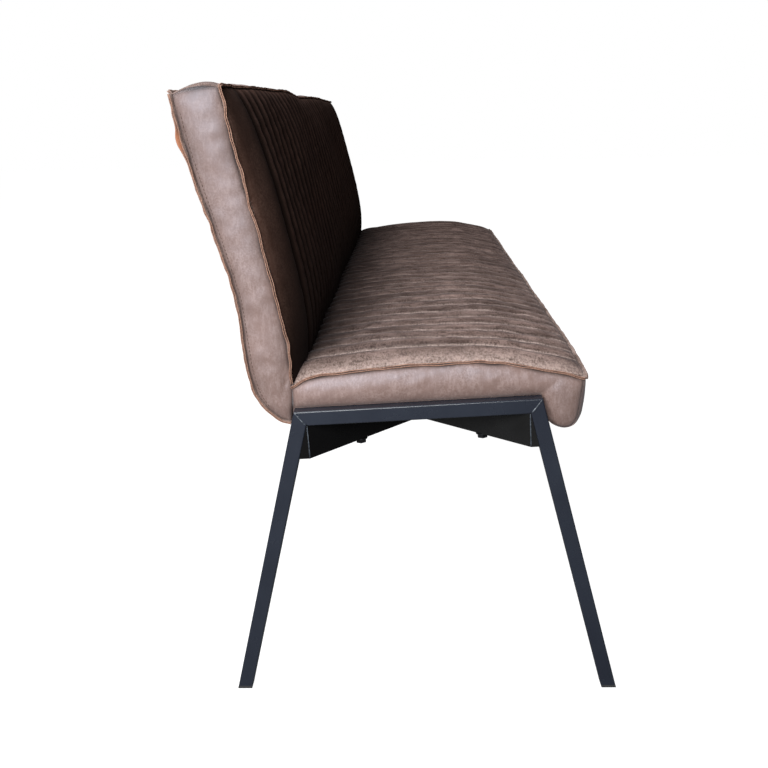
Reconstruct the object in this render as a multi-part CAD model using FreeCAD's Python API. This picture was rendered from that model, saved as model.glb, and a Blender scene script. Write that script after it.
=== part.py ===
"""Upholstered dining bench: two welded end frames of square tube joined by a spine,
a padded seat and a padded back, both sewn into channels.

Millimetres. +X runs along the bench, -Y is the front, +Z is up. The origin lies on the
floor, under the middle of the whole bench.
"""
import FreeCAD, Part
import math
import os

from FreeCAD import Vector

# End frames of square tube
bench_length = 1600.0
tube = 20.0
tube_wall = 2.0
tube_corner = 2.0
foot_reach = 272.0           # frame centre to the outer edge of a foot on the floor
front_splay_angle = 14.9     # degrees from upright
rear_splay_angle = 13.7      # degrees from upright
rail_height = 428.0          # top of the end rail above the floor, at the frame centre
seat_pitch_angle = 2.5       # degrees, lower at the rear

# Plastic glides under the feet
glide_height = 4.0
glide_stem = 18.0
glide_fit = 0.2

# Braces from the legs to the spine, and the spine
brace_height = 50.0
brace_width = 14.0
brace_wall = 2.0
brace_rise = 4.0             # top of the braces above the underside of the end rail
spine_width = 30.0
spine_wall = 2.0

# Bolts, washers and tee nuts that hold the seat on the braces
bolt_shank = 8.0
bolt_head = 13.0
bolt_head_height = 5.3
head_sides = 6
bolt_fit = 0.4
bolt_place_share = 0.42      # of a brace's run, from the leg
washer_size = 18.0
washer_thickness = 1.6
nut_barrel = 11.0
nut_depth = 11.0
nut_flange = 22.0
nut_flange_thickness = 1.5

# Seat, measured square to its pitched underside
cushion_gap = 0.5            # between a cushion's end and the end rail
soft_gap = 0.3
seat_rear = 170.0            # frame centre to the rear edge
seat_front = 216.0           # frame centre to the front edge
seat_rear_height = 44.5
seat_front_height = 35.0
seat_arch = 27.0             # rise of the end seam between its two ends
seat_crown = 10.0            # rise of the channels above the end seam
cloth_thickness = 1.0
board_thickness = 18.0
board_inset = 9.0            # from the cushion's front edge to the board
panel_thickness = 3.5        # leather with its wadding, on the ends and front
lip_top_front = 208.6        # frame centre to the lip where its round starts
lip_start_drop = 13.0
lip_low_front = 196.0
lip_drop = 31.0
lip_rear_front = 167.0
lip_rear_drop = 20.0
batten_depth = 22.0

# Back, a slab bowed towards the sitter
back_base_rear = 172.5       # frame centre to the back's front face, at the seat's rear edge
back_base_rise = 22.0        # of that edge above the end rail
back_top_rear = 243.0
back_top_rise = 404.0        # of the top edge above the end rail
back_bow = 7.0
back_thickness = 56.0
back_tail = 48.0             # of the slab below the seat's rear edge
back_heel = 50.0             # round of the slab's lower rear edge
back_crown = 8.0
back_seat_gap = 1.5          # between the seat's top and the sewn panel above it
back_board_front = 30.0      # depth of the board in the slab
back_board_thickness = 12.0
back_board_lift = 22.0       # from the slab's lower end to the board
back_top_panel = 4.0

# Sewn channels
quilt_thickness = 16.0
channel_depth = 6.0
channel_pitch = 48.0
seat_border = 85.0           # plain border at each end of the seat
back_border = 110.0

# Steel brackets that carry the back
bracket_width = 50.0
bracket_thickness = 5.0
bracket_foot = 120.0         # along the seat board
bracket_upright = 210.0
bracket_spread = 520.0
bracket_seam_gap = 0.2
screw_shank = 4.5
screw_head = 9.0
screw_head_height = 2.6
screw_fit = 0.2
screw_end_gap = 22.0         # from a bracket's end to its screw

overrun = 40.0               # how far cutting shapes pass their work
mitre = math.radians(45.0)
parallel_share = 0.9999      # cosine above which an edge counts as running along a tube


def meet(line_a, line_b):
    """The point where two lines, each a point and a direction, cross."""
    (ay, az), (ady, adz) = line_a
    (by, bz), (bdy, bdz) = line_b
    along = ((by - ay) * bdz - (bz - az) * bdy) / (ady * bdz - adz * bdy)
    return ay + along * ady, az + along * adz


def shifted(line, normal, distance):
    """A line moved sideways along a normal."""
    (y, z), direction = line
    return (y + normal[0] * distance, z + normal[1] * distance), direction


def outline_face(points, x):
    """A flat face in the side plane at x from straight edges through (y, z) points."""
    loop = [Vector(x, y, z) for y, z in points]
    return Part.Face(Part.makePolygon(loop + loop[:1]))


def edges_face(edges):
    """A flat face from edges that join end to end."""
    return Part.Face(Part.Wire(Part.__sortEdges__(edges)))


def prism(points, x0, x1):
    """A side outline carried along the bench from x0 to x1."""
    return outline_face(points, x0).extrude(Vector(x1 - x0, 0, 0))


def carried(face, x0, x1):
    """A face drawn at x = 0, carried along the bench from x0 to x1."""
    solid = face.extrude(Vector(x1 - x0, 0, 0))
    solid.translate(Vector(x0, 0, 0))
    return solid


def straight(a, b):
    return Part.LineSegment(Vector(0, *a), Vector(0, *b)).toShape()


def arc(a, b, c):
    return Part.Arc(Vector(0, *a), Vector(0, *b), Vector(0, *c)).toShape()


def drilled(shape, tools):
    for tool in tools:
        shape = shape.cut(tool)
    return shape


# Frame lines in the side plane
pitch = math.radians(seat_pitch_angle)
along_seat = (math.cos(pitch), -math.sin(pitch))
above_seat = (math.sin(pitch), math.cos(pitch))
below_seat = (-math.sin(pitch), -math.cos(pitch))
frame_end = bench_length / 2
frame_inner = frame_end - tube
cushion_end = frame_inner - cushion_gap

rail_top = ((0.0, rail_height), along_seat)
seat_plane_height = rail_height - (tube - brace_rise) / math.cos(pitch)


def leg_lines(side, splay):
    """The outer line of a leg and its inward normal; side is 1 at the rear, -1 at the front."""
    lean = math.radians(splay)
    line = ((side * foot_reach, 0.0), (-side * math.sin(lean), math.cos(lean)))
    return line, (-side * math.cos(lean), -math.sin(lean))


def seat_point(y, height):
    """A point of the pitched seat in the side plane."""
    return (
        y * along_seat[0] + height * above_seat[0],
        seat_plane_height + y * along_seat[1] + height * above_seat[1],
    )


def pitched(shape):
    """A shape drawn on a level seat, put at the seat's pitch and height."""
    shape.rotate(Vector(0, 0, 0), Vector(1, 0, 0), -seat_pitch_angle)
    shape.translate(Vector(0, 0, seat_plane_height))
    return shape


def level(height):
    return ((0.0, height), (1.0, 0.0))


def leg_outline(side, splay, inset, bottom):
    """Corners of a leg in the side plane, drawn in by inset on every long side."""
    line, inward = leg_lines(side, splay)
    outer = shifted(line, inward, inset)
    inner = shifted(line, inward, tube - inset)
    top = shifted(rail_top, below_seat, inset)
    under = shifted(rail_top, below_seat, tube - inset)
    foot = level(bottom)
    return [meet(outer, foot), meet(inner, foot), meet(inner, under), meet(outer, top)]


def rail_outline(inset):
    """Corners of the end rail, whose ends are mitred to the legs."""
    rear = leg_outline(1, rear_splay_angle, inset, 0.0)
    front = leg_outline(-1, front_splay_angle, inset, 0.0)
    return [rear[3], rear[2], front[2], front[3]]


def tube_piece(outer, inner, run):
    """A length of square tube at the left end, with its four long edges rounded."""
    solid = prism(outer, -frame_end, -frame_inner)
    way = Vector(0, *run)
    long_edges = [e for e in solid.Edges if abs(e.tangentAt(e.FirstParameter).dot(way)) > parallel_share]
    solid = solid.makeFillet(tube_corner, long_edges)
    return solid.cut(prism(inner, -frame_end + tube_wall, -frame_inner - tube_wall))


def leg(side, splay):
    """A leg, open at the foot, where the glide plugs it."""
    line, _ = leg_lines(side, splay)
    outer = leg_outline(side, splay, 0.0, glide_height)
    inner = leg_outline(side, splay, tube_wall, glide_height - overrun)
    return tube_piece(outer, inner, line[1])


def rail():
    return tube_piece(rail_outline(0.0), rail_outline(tube_wall), along_seat)


def glide(side, splay):
    """A plastic foot: a pad under the tube and a stem that plugs it."""
    line, inward = leg_lines(side, splay)
    outer, inner = line, shifted(line, inward, tube)
    floor, seat = level(0.0), level(glide_height)
    pad = prism(
        [meet(outer, floor), meet(inner, floor), meet(inner, seat), meet(outer, seat)],
        -frame_end,
        -frame_inner,
    )
    inset = tube_wall + glide_fit
    outer, inner = shifted(line, inward, inset), shifted(line, inward, tube - inset)
    top = level(glide_height + glide_stem)
    stem = prism(
        [meet(outer, seat), meet(inner, seat), meet(inner, top), meet(outer, top)],
        -frame_end + inset,
        -frame_inner - inset,
    )
    return pad.fuse(stem).removeSplitter()


def seat_side_y(side, splay):
    """Where a leg's inner face crosses the seat plane, measured along the seat."""
    line, inward = leg_lines(side, splay)
    y, z = meet(shifted(line, inward, tube), (seat_point(0.0, 0.0), along_seat))
    return y * along_seat[0] + (z - seat_plane_height) * along_seat[1]


brace_lean = brace_width / math.sin(mitre)


def brace_plan(end_y, inset):
    """Plan of a brace: from the leg at end_y, at 45 degrees to the bench's centre plane."""
    near = -frame_end + inset / math.sin(mitre)
    far = -frame_end + brace_lean - inset / math.sin(mitre)
    reach = abs(end_y)
    return [
        (near, end_y),
        (far, end_y),
        (far + reach * math.tan(mitre), 0.0),
        (near + reach * math.tan(mitre), 0.0),
    ]


def plan_prism(points, low, high):
    loop = [Vector(x, y, low) for x, y in points]
    return Part.Face(Part.makePolygon(loop + loop[:1])).extrude(Vector(0, 0, high - low))


def upright_cylinder(x, y, low, high, size):
    """A round bar square to the level seat."""
    return Part.makeCylinder(size / 2, high - low, Vector(x, y, low))


def bolt_place(end_y):
    """Where a brace's bolt stands, on the brace's centre line at the left end."""
    run = abs(end_y)
    x = -frame_end + brace_lean / 2 + bolt_place_share * run * math.tan(mitre)
    return x, end_y * (1 - bolt_place_share)


rear_end_y = seat_side_y(1, rear_splay_angle)
front_end_y = seat_side_y(-1, front_splay_angle)
end_ys = {"rear": rear_end_y, "front": front_end_y}
board_low = cloth_thickness
board_high = cloth_thickness + board_thickness
bolt_low = -brace_height - washer_thickness


def bolt_places():
    """All four bolt places, left end first."""
    places = [bolt_place(y) for y in end_ys.values()]
    return places + [(-x, y) for x, y in places]


def bolt_holes(fit):
    return [
        upright_cylinder(x, y, bolt_low - overrun, board_high + overrun, bolt_shank + fit)
        for x, y in bolt_places()
    ]


def brace(end_y):
    solid = plan_prism(brace_plan(end_y, 0.0), -brace_height, 0.0)
    hollow = plan_prism(brace_plan(end_y, brace_wall), -brace_height + brace_wall, -brace_wall)
    solid = solid.cut(hollow)
    return pitched(drilled(solid, bolt_holes(bolt_fit)))


def wedge(side, splay, end_y):
    """The filler plate between a brace's square end and its sloping leg."""
    line, inward = leg_lines(side, splay)
    inner = shifted(line, inward, tube)
    under = (seat_point(0.0, -brace_height), along_seat)
    return prism(
        [seat_point(end_y, 0.0), seat_point(end_y, -brace_height), meet(inner, under)],
        -frame_end,
        -frame_inner,
    )


def spine():
    """The long tube under the seat, notched over the points of the two pairs of braces."""
    half = spine_width / 2
    tip = -frame_end + brace_lean + min(abs(rear_end_y), abs(front_end_y))
    reach = tip - half - brace_lean / 2
    inner = half - spine_wall
    outer = [(reach, -half), (-reach, -half), (-reach, half), (reach, half)]
    bore = [(reach - overrun, -inner), (overrun - reach, -inner), (overrun - reach, inner),
            (reach - overrun, inner)]
    solid = plan_prism(outer, -brace_height, 0.0)
    solid = solid.cut(plan_prism(bore, -brace_height + spine_wall, -spine_wall))
    for end_y in end_ys.values():
        notch = plan_prism(brace_plan(end_y, 0.0), -brace_height - overrun, overrun)
        solid = solid.cut(notch)
        solid = solid.cut(notch.mirror(Vector(0, 0, 0), Vector(1, 0, 0)))
    body = max(solid.Solids, key=lambda s: s.Volume)
    return pitched(body)


def circle_of(a, b, rise, toward):
    """Centre and radius of the arc over chord a-b that rises on the side of toward."""
    dy, dz = b[0] - a[0], b[1] - a[1]
    chord = math.hypot(dy, dz)
    radius = chord * chord / (8 * rise) + rise / 2
    normal = (-dz / chord, dy / chord)
    if normal[0] * toward[0] + normal[1] * toward[1] < 0:
        normal = (-normal[0], -normal[1])
    drop = radius - rise
    centre = ((a[0] + b[0]) / 2 - normal[0] * drop, (a[1] + b[1]) / 2 - normal[1] * drop)
    return centre, radius


def turn_of(centre, point):
    """Angle of a point about an axis along the bench, 0 upwards, growing to the front."""
    return math.atan2(centre[0] - point[0], point[1] - centre[1])


def around(centre, radius, turn):
    return centre[0] - radius * math.sin(turn), centre[1] + radius * math.cos(turn)


def channel_count(border):
    return round((2 * cushion_end - 2 * border) / channel_pitch)


def quilt(centre, radius, crown, border, turn_from, turn_to):
    """A sewn panel: a row of channels between plain borders, carried round an axis.

    In the plane of the axis the top is one arc per channel, each channel_depth high,
    and a longer arc that falls by the crown to the seam at each end.
    """
    high = radius + crown
    seam = high - channel_depth
    low = high - quilt_thickness
    count = channel_count(border)
    first = -cushion_end + border
    step = -2 * first / count
    knots = [first + step * i for i in range(count + 1)]
    tops = [((-cushion_end, radius), (first - border / 2, high), (first, seam))]
    tops += [((x, seam), (x + step / 2, high), (x + step, seam)) for x in knots[:-1]]
    tops += [((-first, seam), (-first + border / 2, high), (cushion_end, radius))]
    edges = [Part.Arc(*[Vector(x, 0, r) for x, r in three]).toShape() for three in tops]
    corners = [(cushion_end, radius), (cushion_end, low), (-cushion_end, low), (-cushion_end, radius)]
    for (xa, ra), (xb, rb) in zip(corners, corners[1:]):
        edges.append(Part.LineSegment(Vector(xa, 0, ra), Vector(xb, 0, rb)).toShape())
    face = Part.Face(Part.Wire(edges))
    face.rotate(Vector(0, 0, 0), Vector(1, 0, 0), math.degrees(turn_from))
    solid = face.revolve(Vector(0, 0, 0), Vector(1, 0, 0), math.degrees(turn_to - turn_from))
    solid.translate(Vector(0, *centre))
    return solid


def sector(centre, inner, outer, turn_from, turn_to):
    """A flat face between two radii and two turns about a centre."""
    middle = (turn_from + turn_to) / 2
    a, b, c = [around(centre, outer, t) for t in (turn_from, middle, turn_to)]
    d, e, f = [around(centre, inner, t) for t in (turn_to, middle, turn_from)]
    return edges_face([arc(a, b, c), straight(c, d), arc(d, e, f), straight(f, a)])


# Seat on a level underside, before it is pitched
seat_rear_top = (seat_rear, seat_rear_height)
seat_front_top = (-seat_front, seat_front_height)
seat_centre, seat_radius = circle_of(seat_rear_top, seat_front_top, seat_arch, (0.0, 1.0))
seat_turns = turn_of(seat_centre, seat_rear_top), turn_of(seat_centre, seat_front_top)
seat_quilt_low = seat_radius + seat_crown - quilt_thickness
under_quilt = seat_quilt_low - soft_gap
seat_middle = sum(seat_turns) / 2
cover_end = cushion_end - panel_thickness
core_end = cover_end - soft_gap


def seat_outline():
    """Side outline of the seat under its sewn top, with the rounded lip at the front."""
    rear = around(seat_centre, under_quilt, seat_turns[0])
    top = around(seat_centre, under_quilt, seat_middle)
    front = around(seat_centre, under_quilt, seat_turns[1])
    lip = [(-lip_top_front, -lip_start_drop), (-lip_low_front, -lip_drop), (-lip_rear_front, -lip_rear_drop)]
    lip_end = (-lip_rear_front, cloth_thickness)
    rear_foot = (rear[0], cloth_thickness)
    return edges_face([
        arc(rear, top, front),
        straight(front, lip[0]),
        arc(*lip),
        straight(lip[2], lip_end),
        straight(lip_end, rear_foot),
        straight(rear_foot, rear),
    ])


seat_face = seat_outline()
seat_inner_face = seat_face.copy()
seat_inner_face.translate(Vector(0, panel_thickness, panel_thickness))
batten_front = -lip_low_front + panel_thickness
batten_low = -lip_rear_drop + soft_gap


def seat_board():
    front = -seat_front + board_inset
    solid = carried(outline_face([(front, board_low), (seat_rear - soft_gap, board_low),
                                  (seat_rear - soft_gap, board_high), (front, board_high)], 0.0),
                    -core_end, core_end)
    sockets = [upright_cylinder(x, y, board_high - nut_depth, board_high, nut_barrel)
               for x, y in bolt_places()]
    return drilled(solid, bolt_holes(bolt_fit) + sockets)


def seat_batten():
    """The timber that fills the lip under the board's front edge."""
    return carried(outline_face([(batten_front, batten_low), (batten_front + batten_depth, batten_low),
                                 (batten_front + batten_depth, board_low), (batten_front, board_low)], 0.0),
                   -core_end, core_end)


def seat_front_panel():
    """The leather that covers the front edge and wraps round the lip."""
    strip = seat_face.cut(seat_inner_face)
    keep = outline_face([(-seat_front - overrun, -lip_drop - overrun),
                         (-lip_rear_front - soft_gap, -lip_drop - overrun),
                         (-lip_rear_front - soft_gap, seat_arch + seat_rear_height),
                         (-seat_front - overrun, seat_arch + seat_rear_height)], 0.0)
    strip = strip.common(keep)
    return carried(max(strip.Faces, key=lambda f: f.Area), -cover_end, cover_end)


def seat_foam_face():
    """Side outline of the foam: from the board up to the sewn top."""
    reach = under_quilt - soft_gap
    rear = around(seat_centre, reach, seat_turns[0])
    top = around(seat_centre, reach, seat_middle)
    front = around(seat_centre, reach, seat_turns[1])
    inner = panel_thickness + 2 * soft_gap
    front = (front[0] + inner, front[1])
    foot = (-seat_front + board_inset, board_high)
    rear_foot = (rear[0] - soft_gap, board_high)
    rear = (rear[0] - soft_gap, rear[1])
    return edges_face([
        arc(rear, top, front), straight(front, foot), straight(foot, rear_foot), straight(rear_foot, rear)])


def bolt(x, y):
    """A hexagon head under the brace and a shank up into the tee nut."""
    corner = bolt_head / 2 / math.cos(math.pi / head_sides)
    turns = [2 * math.pi * i / head_sides for i in range(head_sides)]
    head = plan_prism([(x + corner * math.cos(t), y + corner * math.sin(t)) for t in turns],
                      bolt_low - bolt_head_height, bolt_low)
    shank = upright_cylinder(x, y, bolt_low, board_high, bolt_shank)
    return head.fuse(shank)


def washer(x, y):
    ring = upright_cylinder(x, y, bolt_low, -brace_height, washer_size)
    return ring.cut(upright_cylinder(x, y, bolt_low, -brace_height, bolt_shank + bolt_fit))


def tee_nut(x, y):
    barrel = upright_cylinder(x, y, board_high - nut_depth, board_high, nut_barrel)
    flange = upright_cylinder(x, y, board_high, board_high + nut_flange_thickness, nut_flange)
    bore_size = bolt_shank + bolt_fit
    bore = upright_cylinder(x, y, board_high - nut_depth - overrun, board_high + overrun, bore_size)
    return barrel.fuse(flange).removeSplitter().cut(bore)


# Back, in the side plane of the bench
back_base = (back_base_rear, rail_height + back_base_rise)
back_top = (back_top_rear, rail_height + back_top_rise)
back_centre, back_radius = circle_of(back_base, back_top, back_bow, (-1.0, 0.0))
back_low_turn = turn_of(back_centre, back_base) + back_tail / back_radius
back_high_turn = turn_of(back_centre, back_top)
back_quilt_low = back_radius + back_crown - quilt_thickness
back_rear_radius = back_radius - back_thickness


def up_back(distance):
    """The turn that lies a distance up the slab from its lower end."""
    return back_low_turn - distance / back_radius


def back_outline():
    """Side outline of the slab, with its lower rear edge rounded."""
    middle = (back_low_turn + back_high_turn) / 2
    heel_turn = up_back(back_heel)
    rest = back_heel * (1 - math.sin(mitre))
    front = [around(back_centre, back_radius, t) for t in (back_low_turn, middle, back_high_turn)]
    rear_middle = (heel_turn + back_high_turn) / 2
    rear = [around(back_centre, back_rear_radius, t) for t in (back_high_turn, rear_middle, heel_turn)]
    heel = around(back_centre, back_rear_radius + rest, up_back(rest))
    heel_end = around(back_centre, back_rear_radius + back_heel, back_low_turn)
    return edges_face([
        arc(*front), straight(front[2], rear[0]), arc(*rear), arc(rear[2], heel, heel_end),
        straight(heel_end, front[0])])


seat_rear_crest = seat_point(*around(seat_centre, seat_radius + seat_crown, seat_turns[0]))
back_quilt_turn = turn_of(back_centre, seat_rear_crest) - back_seat_gap / back_radius
back_face = back_outline()
board_radius = back_radius - back_board_front
board_rear_radius = board_radius - back_board_thickness
back_core_top = back_high_turn + back_top_panel / back_radius


def back_board():
    face = sector(back_centre, board_rear_radius, board_radius, up_back(back_board_lift), back_core_top)
    return carried(face, -core_end, core_end)


def back_foam():
    face = sector(back_centre, board_radius + bracket_seam_gap, back_quilt_low - soft_gap,
                  back_quilt_turn, back_core_top)
    return carried(face, -core_end, core_end)


def back_rear_panel():
    """The leather and wadding over the back's rear, its round heel and its top edge."""
    core = sector(back_centre, board_rear_radius - soft_gap, back_radius + overrun,
                  up_back(back_board_lift - soft_gap), back_core_top - soft_gap / back_radius)
    sewn = sector(back_centre, back_quilt_low - soft_gap, back_radius + overrun,
                  back_low_turn + overrun / back_radius, back_high_turn - overrun / back_radius)
    rest = back_face.cut(core).cut(sewn)
    return carried(max(rest.Faces, key=lambda f: f.Area), -cover_end, cover_end)


def back_end_panel():
    sewn = sector(back_centre, back_quilt_low - soft_gap, back_radius + overrun,
                  back_quilt_turn + soft_gap / back_radius, back_high_turn - overrun / back_radius)
    rest = back_face.cut(sewn)
    return carried(max(rest.Faces, key=lambda f: f.Area), -cushion_end, -cover_end - soft_gap)


def bracket_side():
    """Side outline of a bracket: a foot on the seat board and an upright up the back board."""
    top = board_high + bracket_thickness
    low_turn = up_back(back_board_lift)
    upright = sector(back_centre, board_radius + bracket_seam_gap,
                     board_radius + bracket_seam_gap + bracket_thickness,
                     low_turn, up_back(back_board_lift + bracket_upright))
    corner = around(back_centre, board_radius + bracket_seam_gap + bracket_thickness / 2, low_turn)
    end_y = corner[0] * along_seat[0] + (corner[1] - seat_plane_height) * along_seat[1]
    start_y = seat_rear - bracket_foot
    foot = outline_face([seat_point(start_y, board_high), seat_point(end_y, board_high),
                         seat_point(end_y, top), seat_point(start_y, top)], 0.0)
    return upright.fuse(foot)


bracket_places = [-bracket_spread, 0.0, bracket_spread]


def brackets():
    half = bracket_width / 2
    pieces = []
    for x in bracket_places:
        parts = [carried(face, x - half, x + half) for face in bracket_side().Faces]
        solid = parts[0].multiFuse(parts[1:]) if len(parts) > 1 else parts[0]
        pieces.append(solid.removeSplitter())
    return pieces


def foot_screw(x, y, size_fit):
    """A screw through a bracket's foot into the seat board, on the level seat."""
    top = board_high + bracket_thickness
    shank = upright_cylinder(x, y, board_low, top, screw_shank + size_fit)
    head = upright_cylinder(x, y, top, top + screw_head_height, screw_head)
    return pitched(shank.fuse(head))


def upright_screw(x, distance, size_fit):
    """A screw through a bracket's upright into the back board, pointing to the rear."""
    turn = up_back(distance)
    face = board_radius + bracket_seam_gap + bracket_thickness
    inward = Vector(0, math.sin(turn), -math.cos(turn))
    start = Vector(x, *around(back_centre, face, turn))
    length = face - board_rear_radius
    shank = Part.makeCylinder((screw_shank + size_fit) / 2, length, start, inward)
    head = Part.makeCylinder(screw_head / 2, screw_head_height, start - inward * screw_head_height, inward)
    return shank.fuse(head)


def screws(size_fit):
    foot_ys = [seat_rear - bracket_foot + screw_end_gap, seat_rear - screw_end_gap]
    heights = [back_board_lift + 2 * screw_end_gap, back_board_lift + bracket_upright - screw_end_gap]
    pieces = []
    for x in bracket_places:
        pieces += [foot_screw(x, y, size_fit) for y in foot_ys]
        pieces += [upright_screw(x, d, size_fit) for d in heights]
    return pieces


def mirrored(shape):
    return shape.mirror(Vector(0, 0, 0), Vector(1, 0, 0))


def end_frames():
    """The two welded ends, with their braces, wedges and glides."""
    left = {
        "rear_leg": leg(1, rear_splay_angle),
        "front_leg": leg(-1, front_splay_angle),
        "top_rail": rail(),
        "rear_brace": brace(rear_end_y),
        "front_brace": brace(front_end_y),
        "rear_wedge": wedge(1, rear_splay_angle, rear_end_y),
        "front_wedge": wedge(-1, front_splay_angle, front_end_y),
        "rear_glide": glide(1, rear_splay_angle),
        "front_glide": glide(-1, front_splay_angle),
    }
    nodes = {"left_" + name: shape for name, shape in left.items()}
    nodes.update({"right_" + name: mirrored(shape) for name, shape in left.items()})
    nodes["seat_spine"] = spine()
    return nodes


def seat_pieces():
    """The seat, built level and then pitched, around its board."""
    steel = brackets()
    clear = screws(screw_fit)
    nuts = [tee_nut(x, y) for x, y in bolt_places()]
    foam = drilled(carried(seat_foam_face(), -core_end, core_end), nuts)
    cloth = carried(outline_face([(-lip_rear_front + soft_gap, 0.0), (seat_rear, 0.0),
                                  (seat_rear, cloth_thickness),
                                  (-lip_rear_front + soft_gap, cloth_thickness)], 0.0), -cover_end, cover_end)
    end_panel = carried(seat_face, -cushion_end, -cover_end - soft_gap)
    nodes = {
        "seat_board": drilled(pitched(seat_board()), clear),
        "seat_batten": pitched(seat_batten()),
        "seat_foam": drilled(pitched(foam), steel + clear),
        "seat_front_panel": pitched(seat_front_panel()),
        "seat_dust_cloth": pitched(drilled(cloth, bolt_holes(bolt_fit))),
        "seat_left_panel": pitched(end_panel),
        "frame_bolts": pitched(Part.makeCompound([bolt(x, y) for x, y in bolt_places()])),
        "bolt_washers": pitched(Part.makeCompound([washer(x, y) for x, y in bolt_places()])),
        "tee_nuts": pitched(Part.makeCompound(nuts)),
        "seat_quilt": pitched(quilt(seat_centre, seat_radius, seat_crown, seat_border, *seat_turns)),
        "back_brackets": Part.makeCompound([drilled(piece, clear) for piece in steel]),
        "bracket_screws": Part.makeCompound(screws(0.0)),
        "back_board": drilled(back_board(), clear),
        "back_foam": drilled(back_foam(), steel + clear),
    }
    nodes["seat_right_panel"] = mirrored(nodes["seat_left_panel"])
    return nodes


def back_pieces():
    left = back_end_panel()
    return {
        "back_quilt": quilt(back_centre, back_radius, back_crown, back_border,
                            back_high_turn, back_quilt_turn),
        "back_rear_panel": back_rear_panel(),
        "back_left_panel": left,
        "back_right_panel": mirrored(left),
    }


nodes = {**end_frames(), **seat_pieces(), **back_pieces()}
box = FreeCAD.BoundBox()
for shape in nodes.values():
    box.add(shape.BoundBox)
middle_y = (box.YMin + box.YMax) / 2

os.makedirs("parts", exist_ok=True)
for name, shape in nodes.items():
    shape.translate(Vector(0, -middle_y, 0))
    shape.exportStep("parts/" + name + ".step")
    print(name, len(shape.Solids), shape.isValid(), round(shape.Volume))
print("frame centre at y", round(-middle_y, 2), "box", box)
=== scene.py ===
# %% [markdown]
# # A leather dining bench
# The steel, timber and fasteners of this bench come from the construction model and stay where they
# are. This lesson dresses them: every soft piece is a surface worked out with numpy, the sewn seams
# get their raw leather edges and stitches, and each finish is a small network of procedural nodes.

import math

import bpy
import numpy as np
from mathutils import Matrix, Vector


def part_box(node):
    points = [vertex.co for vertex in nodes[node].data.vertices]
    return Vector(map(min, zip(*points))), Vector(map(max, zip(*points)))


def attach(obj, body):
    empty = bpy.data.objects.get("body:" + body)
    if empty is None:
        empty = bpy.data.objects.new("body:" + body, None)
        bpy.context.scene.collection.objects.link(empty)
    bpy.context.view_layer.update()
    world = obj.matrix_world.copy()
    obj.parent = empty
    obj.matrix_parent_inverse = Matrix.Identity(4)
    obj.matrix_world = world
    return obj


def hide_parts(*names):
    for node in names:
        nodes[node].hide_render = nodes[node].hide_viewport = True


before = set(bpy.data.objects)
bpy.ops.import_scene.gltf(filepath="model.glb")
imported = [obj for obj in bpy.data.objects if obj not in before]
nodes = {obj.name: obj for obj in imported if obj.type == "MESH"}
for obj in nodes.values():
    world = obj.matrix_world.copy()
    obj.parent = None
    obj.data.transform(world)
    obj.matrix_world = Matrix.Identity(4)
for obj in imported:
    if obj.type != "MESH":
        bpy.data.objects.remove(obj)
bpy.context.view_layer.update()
print("frame nodes:", len(nodes))

# %% [markdown]
# ## Where things are
# The side outlines are written about the middle of the feet, as a maker would measure the bench
# standing on a floor. The model's own origin lies a little behind that, so one shift joins the two.
# The ends of the cushions could be typed in again, but they are read from the frame, so that covers and
# frame can't drift apart.

# %% Places taken from the frame
front_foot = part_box("left_front_glide")[0]
rear_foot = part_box("left_rear_glide")[1]
feet_middle_y = (front_foot[1] + rear_foot[1]) / 2
frame_end = -front_foot[0]
cushion_end = -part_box("seat_quilt")[0][0]
print("feet middle y", round(feet_middle_y, 4), "cushion end x", round(cushion_end, 4))

# %% [markdown]
# ## The camera
# The photograph looks along the bench from one end, from a little under the top of the back. A camera could
# be turned by eye until the picture fits. But the long edges of the bench meet at one vanishing point, which
# fixes the direction exactly, and the width of the feet fixes how far away it stands.

# %% Camera at the end of the bench
IMAGE_SIDE = 768
FOCAL_PIXELS = 895.0
VANISHING_PIXEL = (411.0, 115.0)
CAMERA_ROLL = math.radians(-0.8)
CAMERA_DISTANCE = 1.110          # from the near end of the frame
CAMERA_HEIGHT = 0.7907
CAMERA_SIDE = 0.00975            # behind the middle of the feet
SENSOR = 36.0


def photo_camera():
    """A camera whose vanishing point for lines along the bench is VANISHING_PIXEL."""
    half = IMAGE_SIDE / 2
    along = np.array([(VANISHING_PIXEL[0] - half) / FOCAL_PIXELS,
                      (VANISHING_PIXEL[1] - half) / FOCAL_PIXELS, 1.0])
    along /= np.linalg.norm(along)
    up = np.array([math.sin(CAMERA_ROLL), -math.cos(CAMERA_ROLL), 0.0])
    up -= along * (up @ along)
    up /= np.linalg.norm(up)
    across = np.cross(up, along)
    right, down, forward = np.array([along, across, up]).T
    data = bpy.data.cameras.new("photo_camera")
    data.sensor_width = SENSOR
    data.lens = SENSOR * FOCAL_PIXELS / IMAGE_SIDE
    camera = bpy.data.objects.new("photo_camera", data)
    bpy.context.scene.collection.objects.link(camera)
    matrix = np.eye(4)
    matrix[:3, 0], matrix[:3, 1], matrix[:3, 2] = right, -down, -forward
    matrix[:3, 3] = (-frame_end - CAMERA_DISTANCE, feet_middle_y + CAMERA_SIDE, CAMERA_HEIGHT)
    camera.matrix_world = Matrix(matrix.tolist())
    bpy.context.scene.camera = camera
    return camera


camera = photo_camera()
print("lens", round(camera.data.lens, 2), "mm")

# %% [markdown]
# ## Tools for sewn surfaces
# A leather cover could be sculpted, or let fall as simulated cloth. Here each one is a grid of points,
# so that it is one formula on whole arrays and comes out the same on every run. Outlines are smooth curves
# through a few measured points, and the small unevenness of leather is a sum of waves.

# %% Curves
CURVE_STEPS = 40


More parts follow.
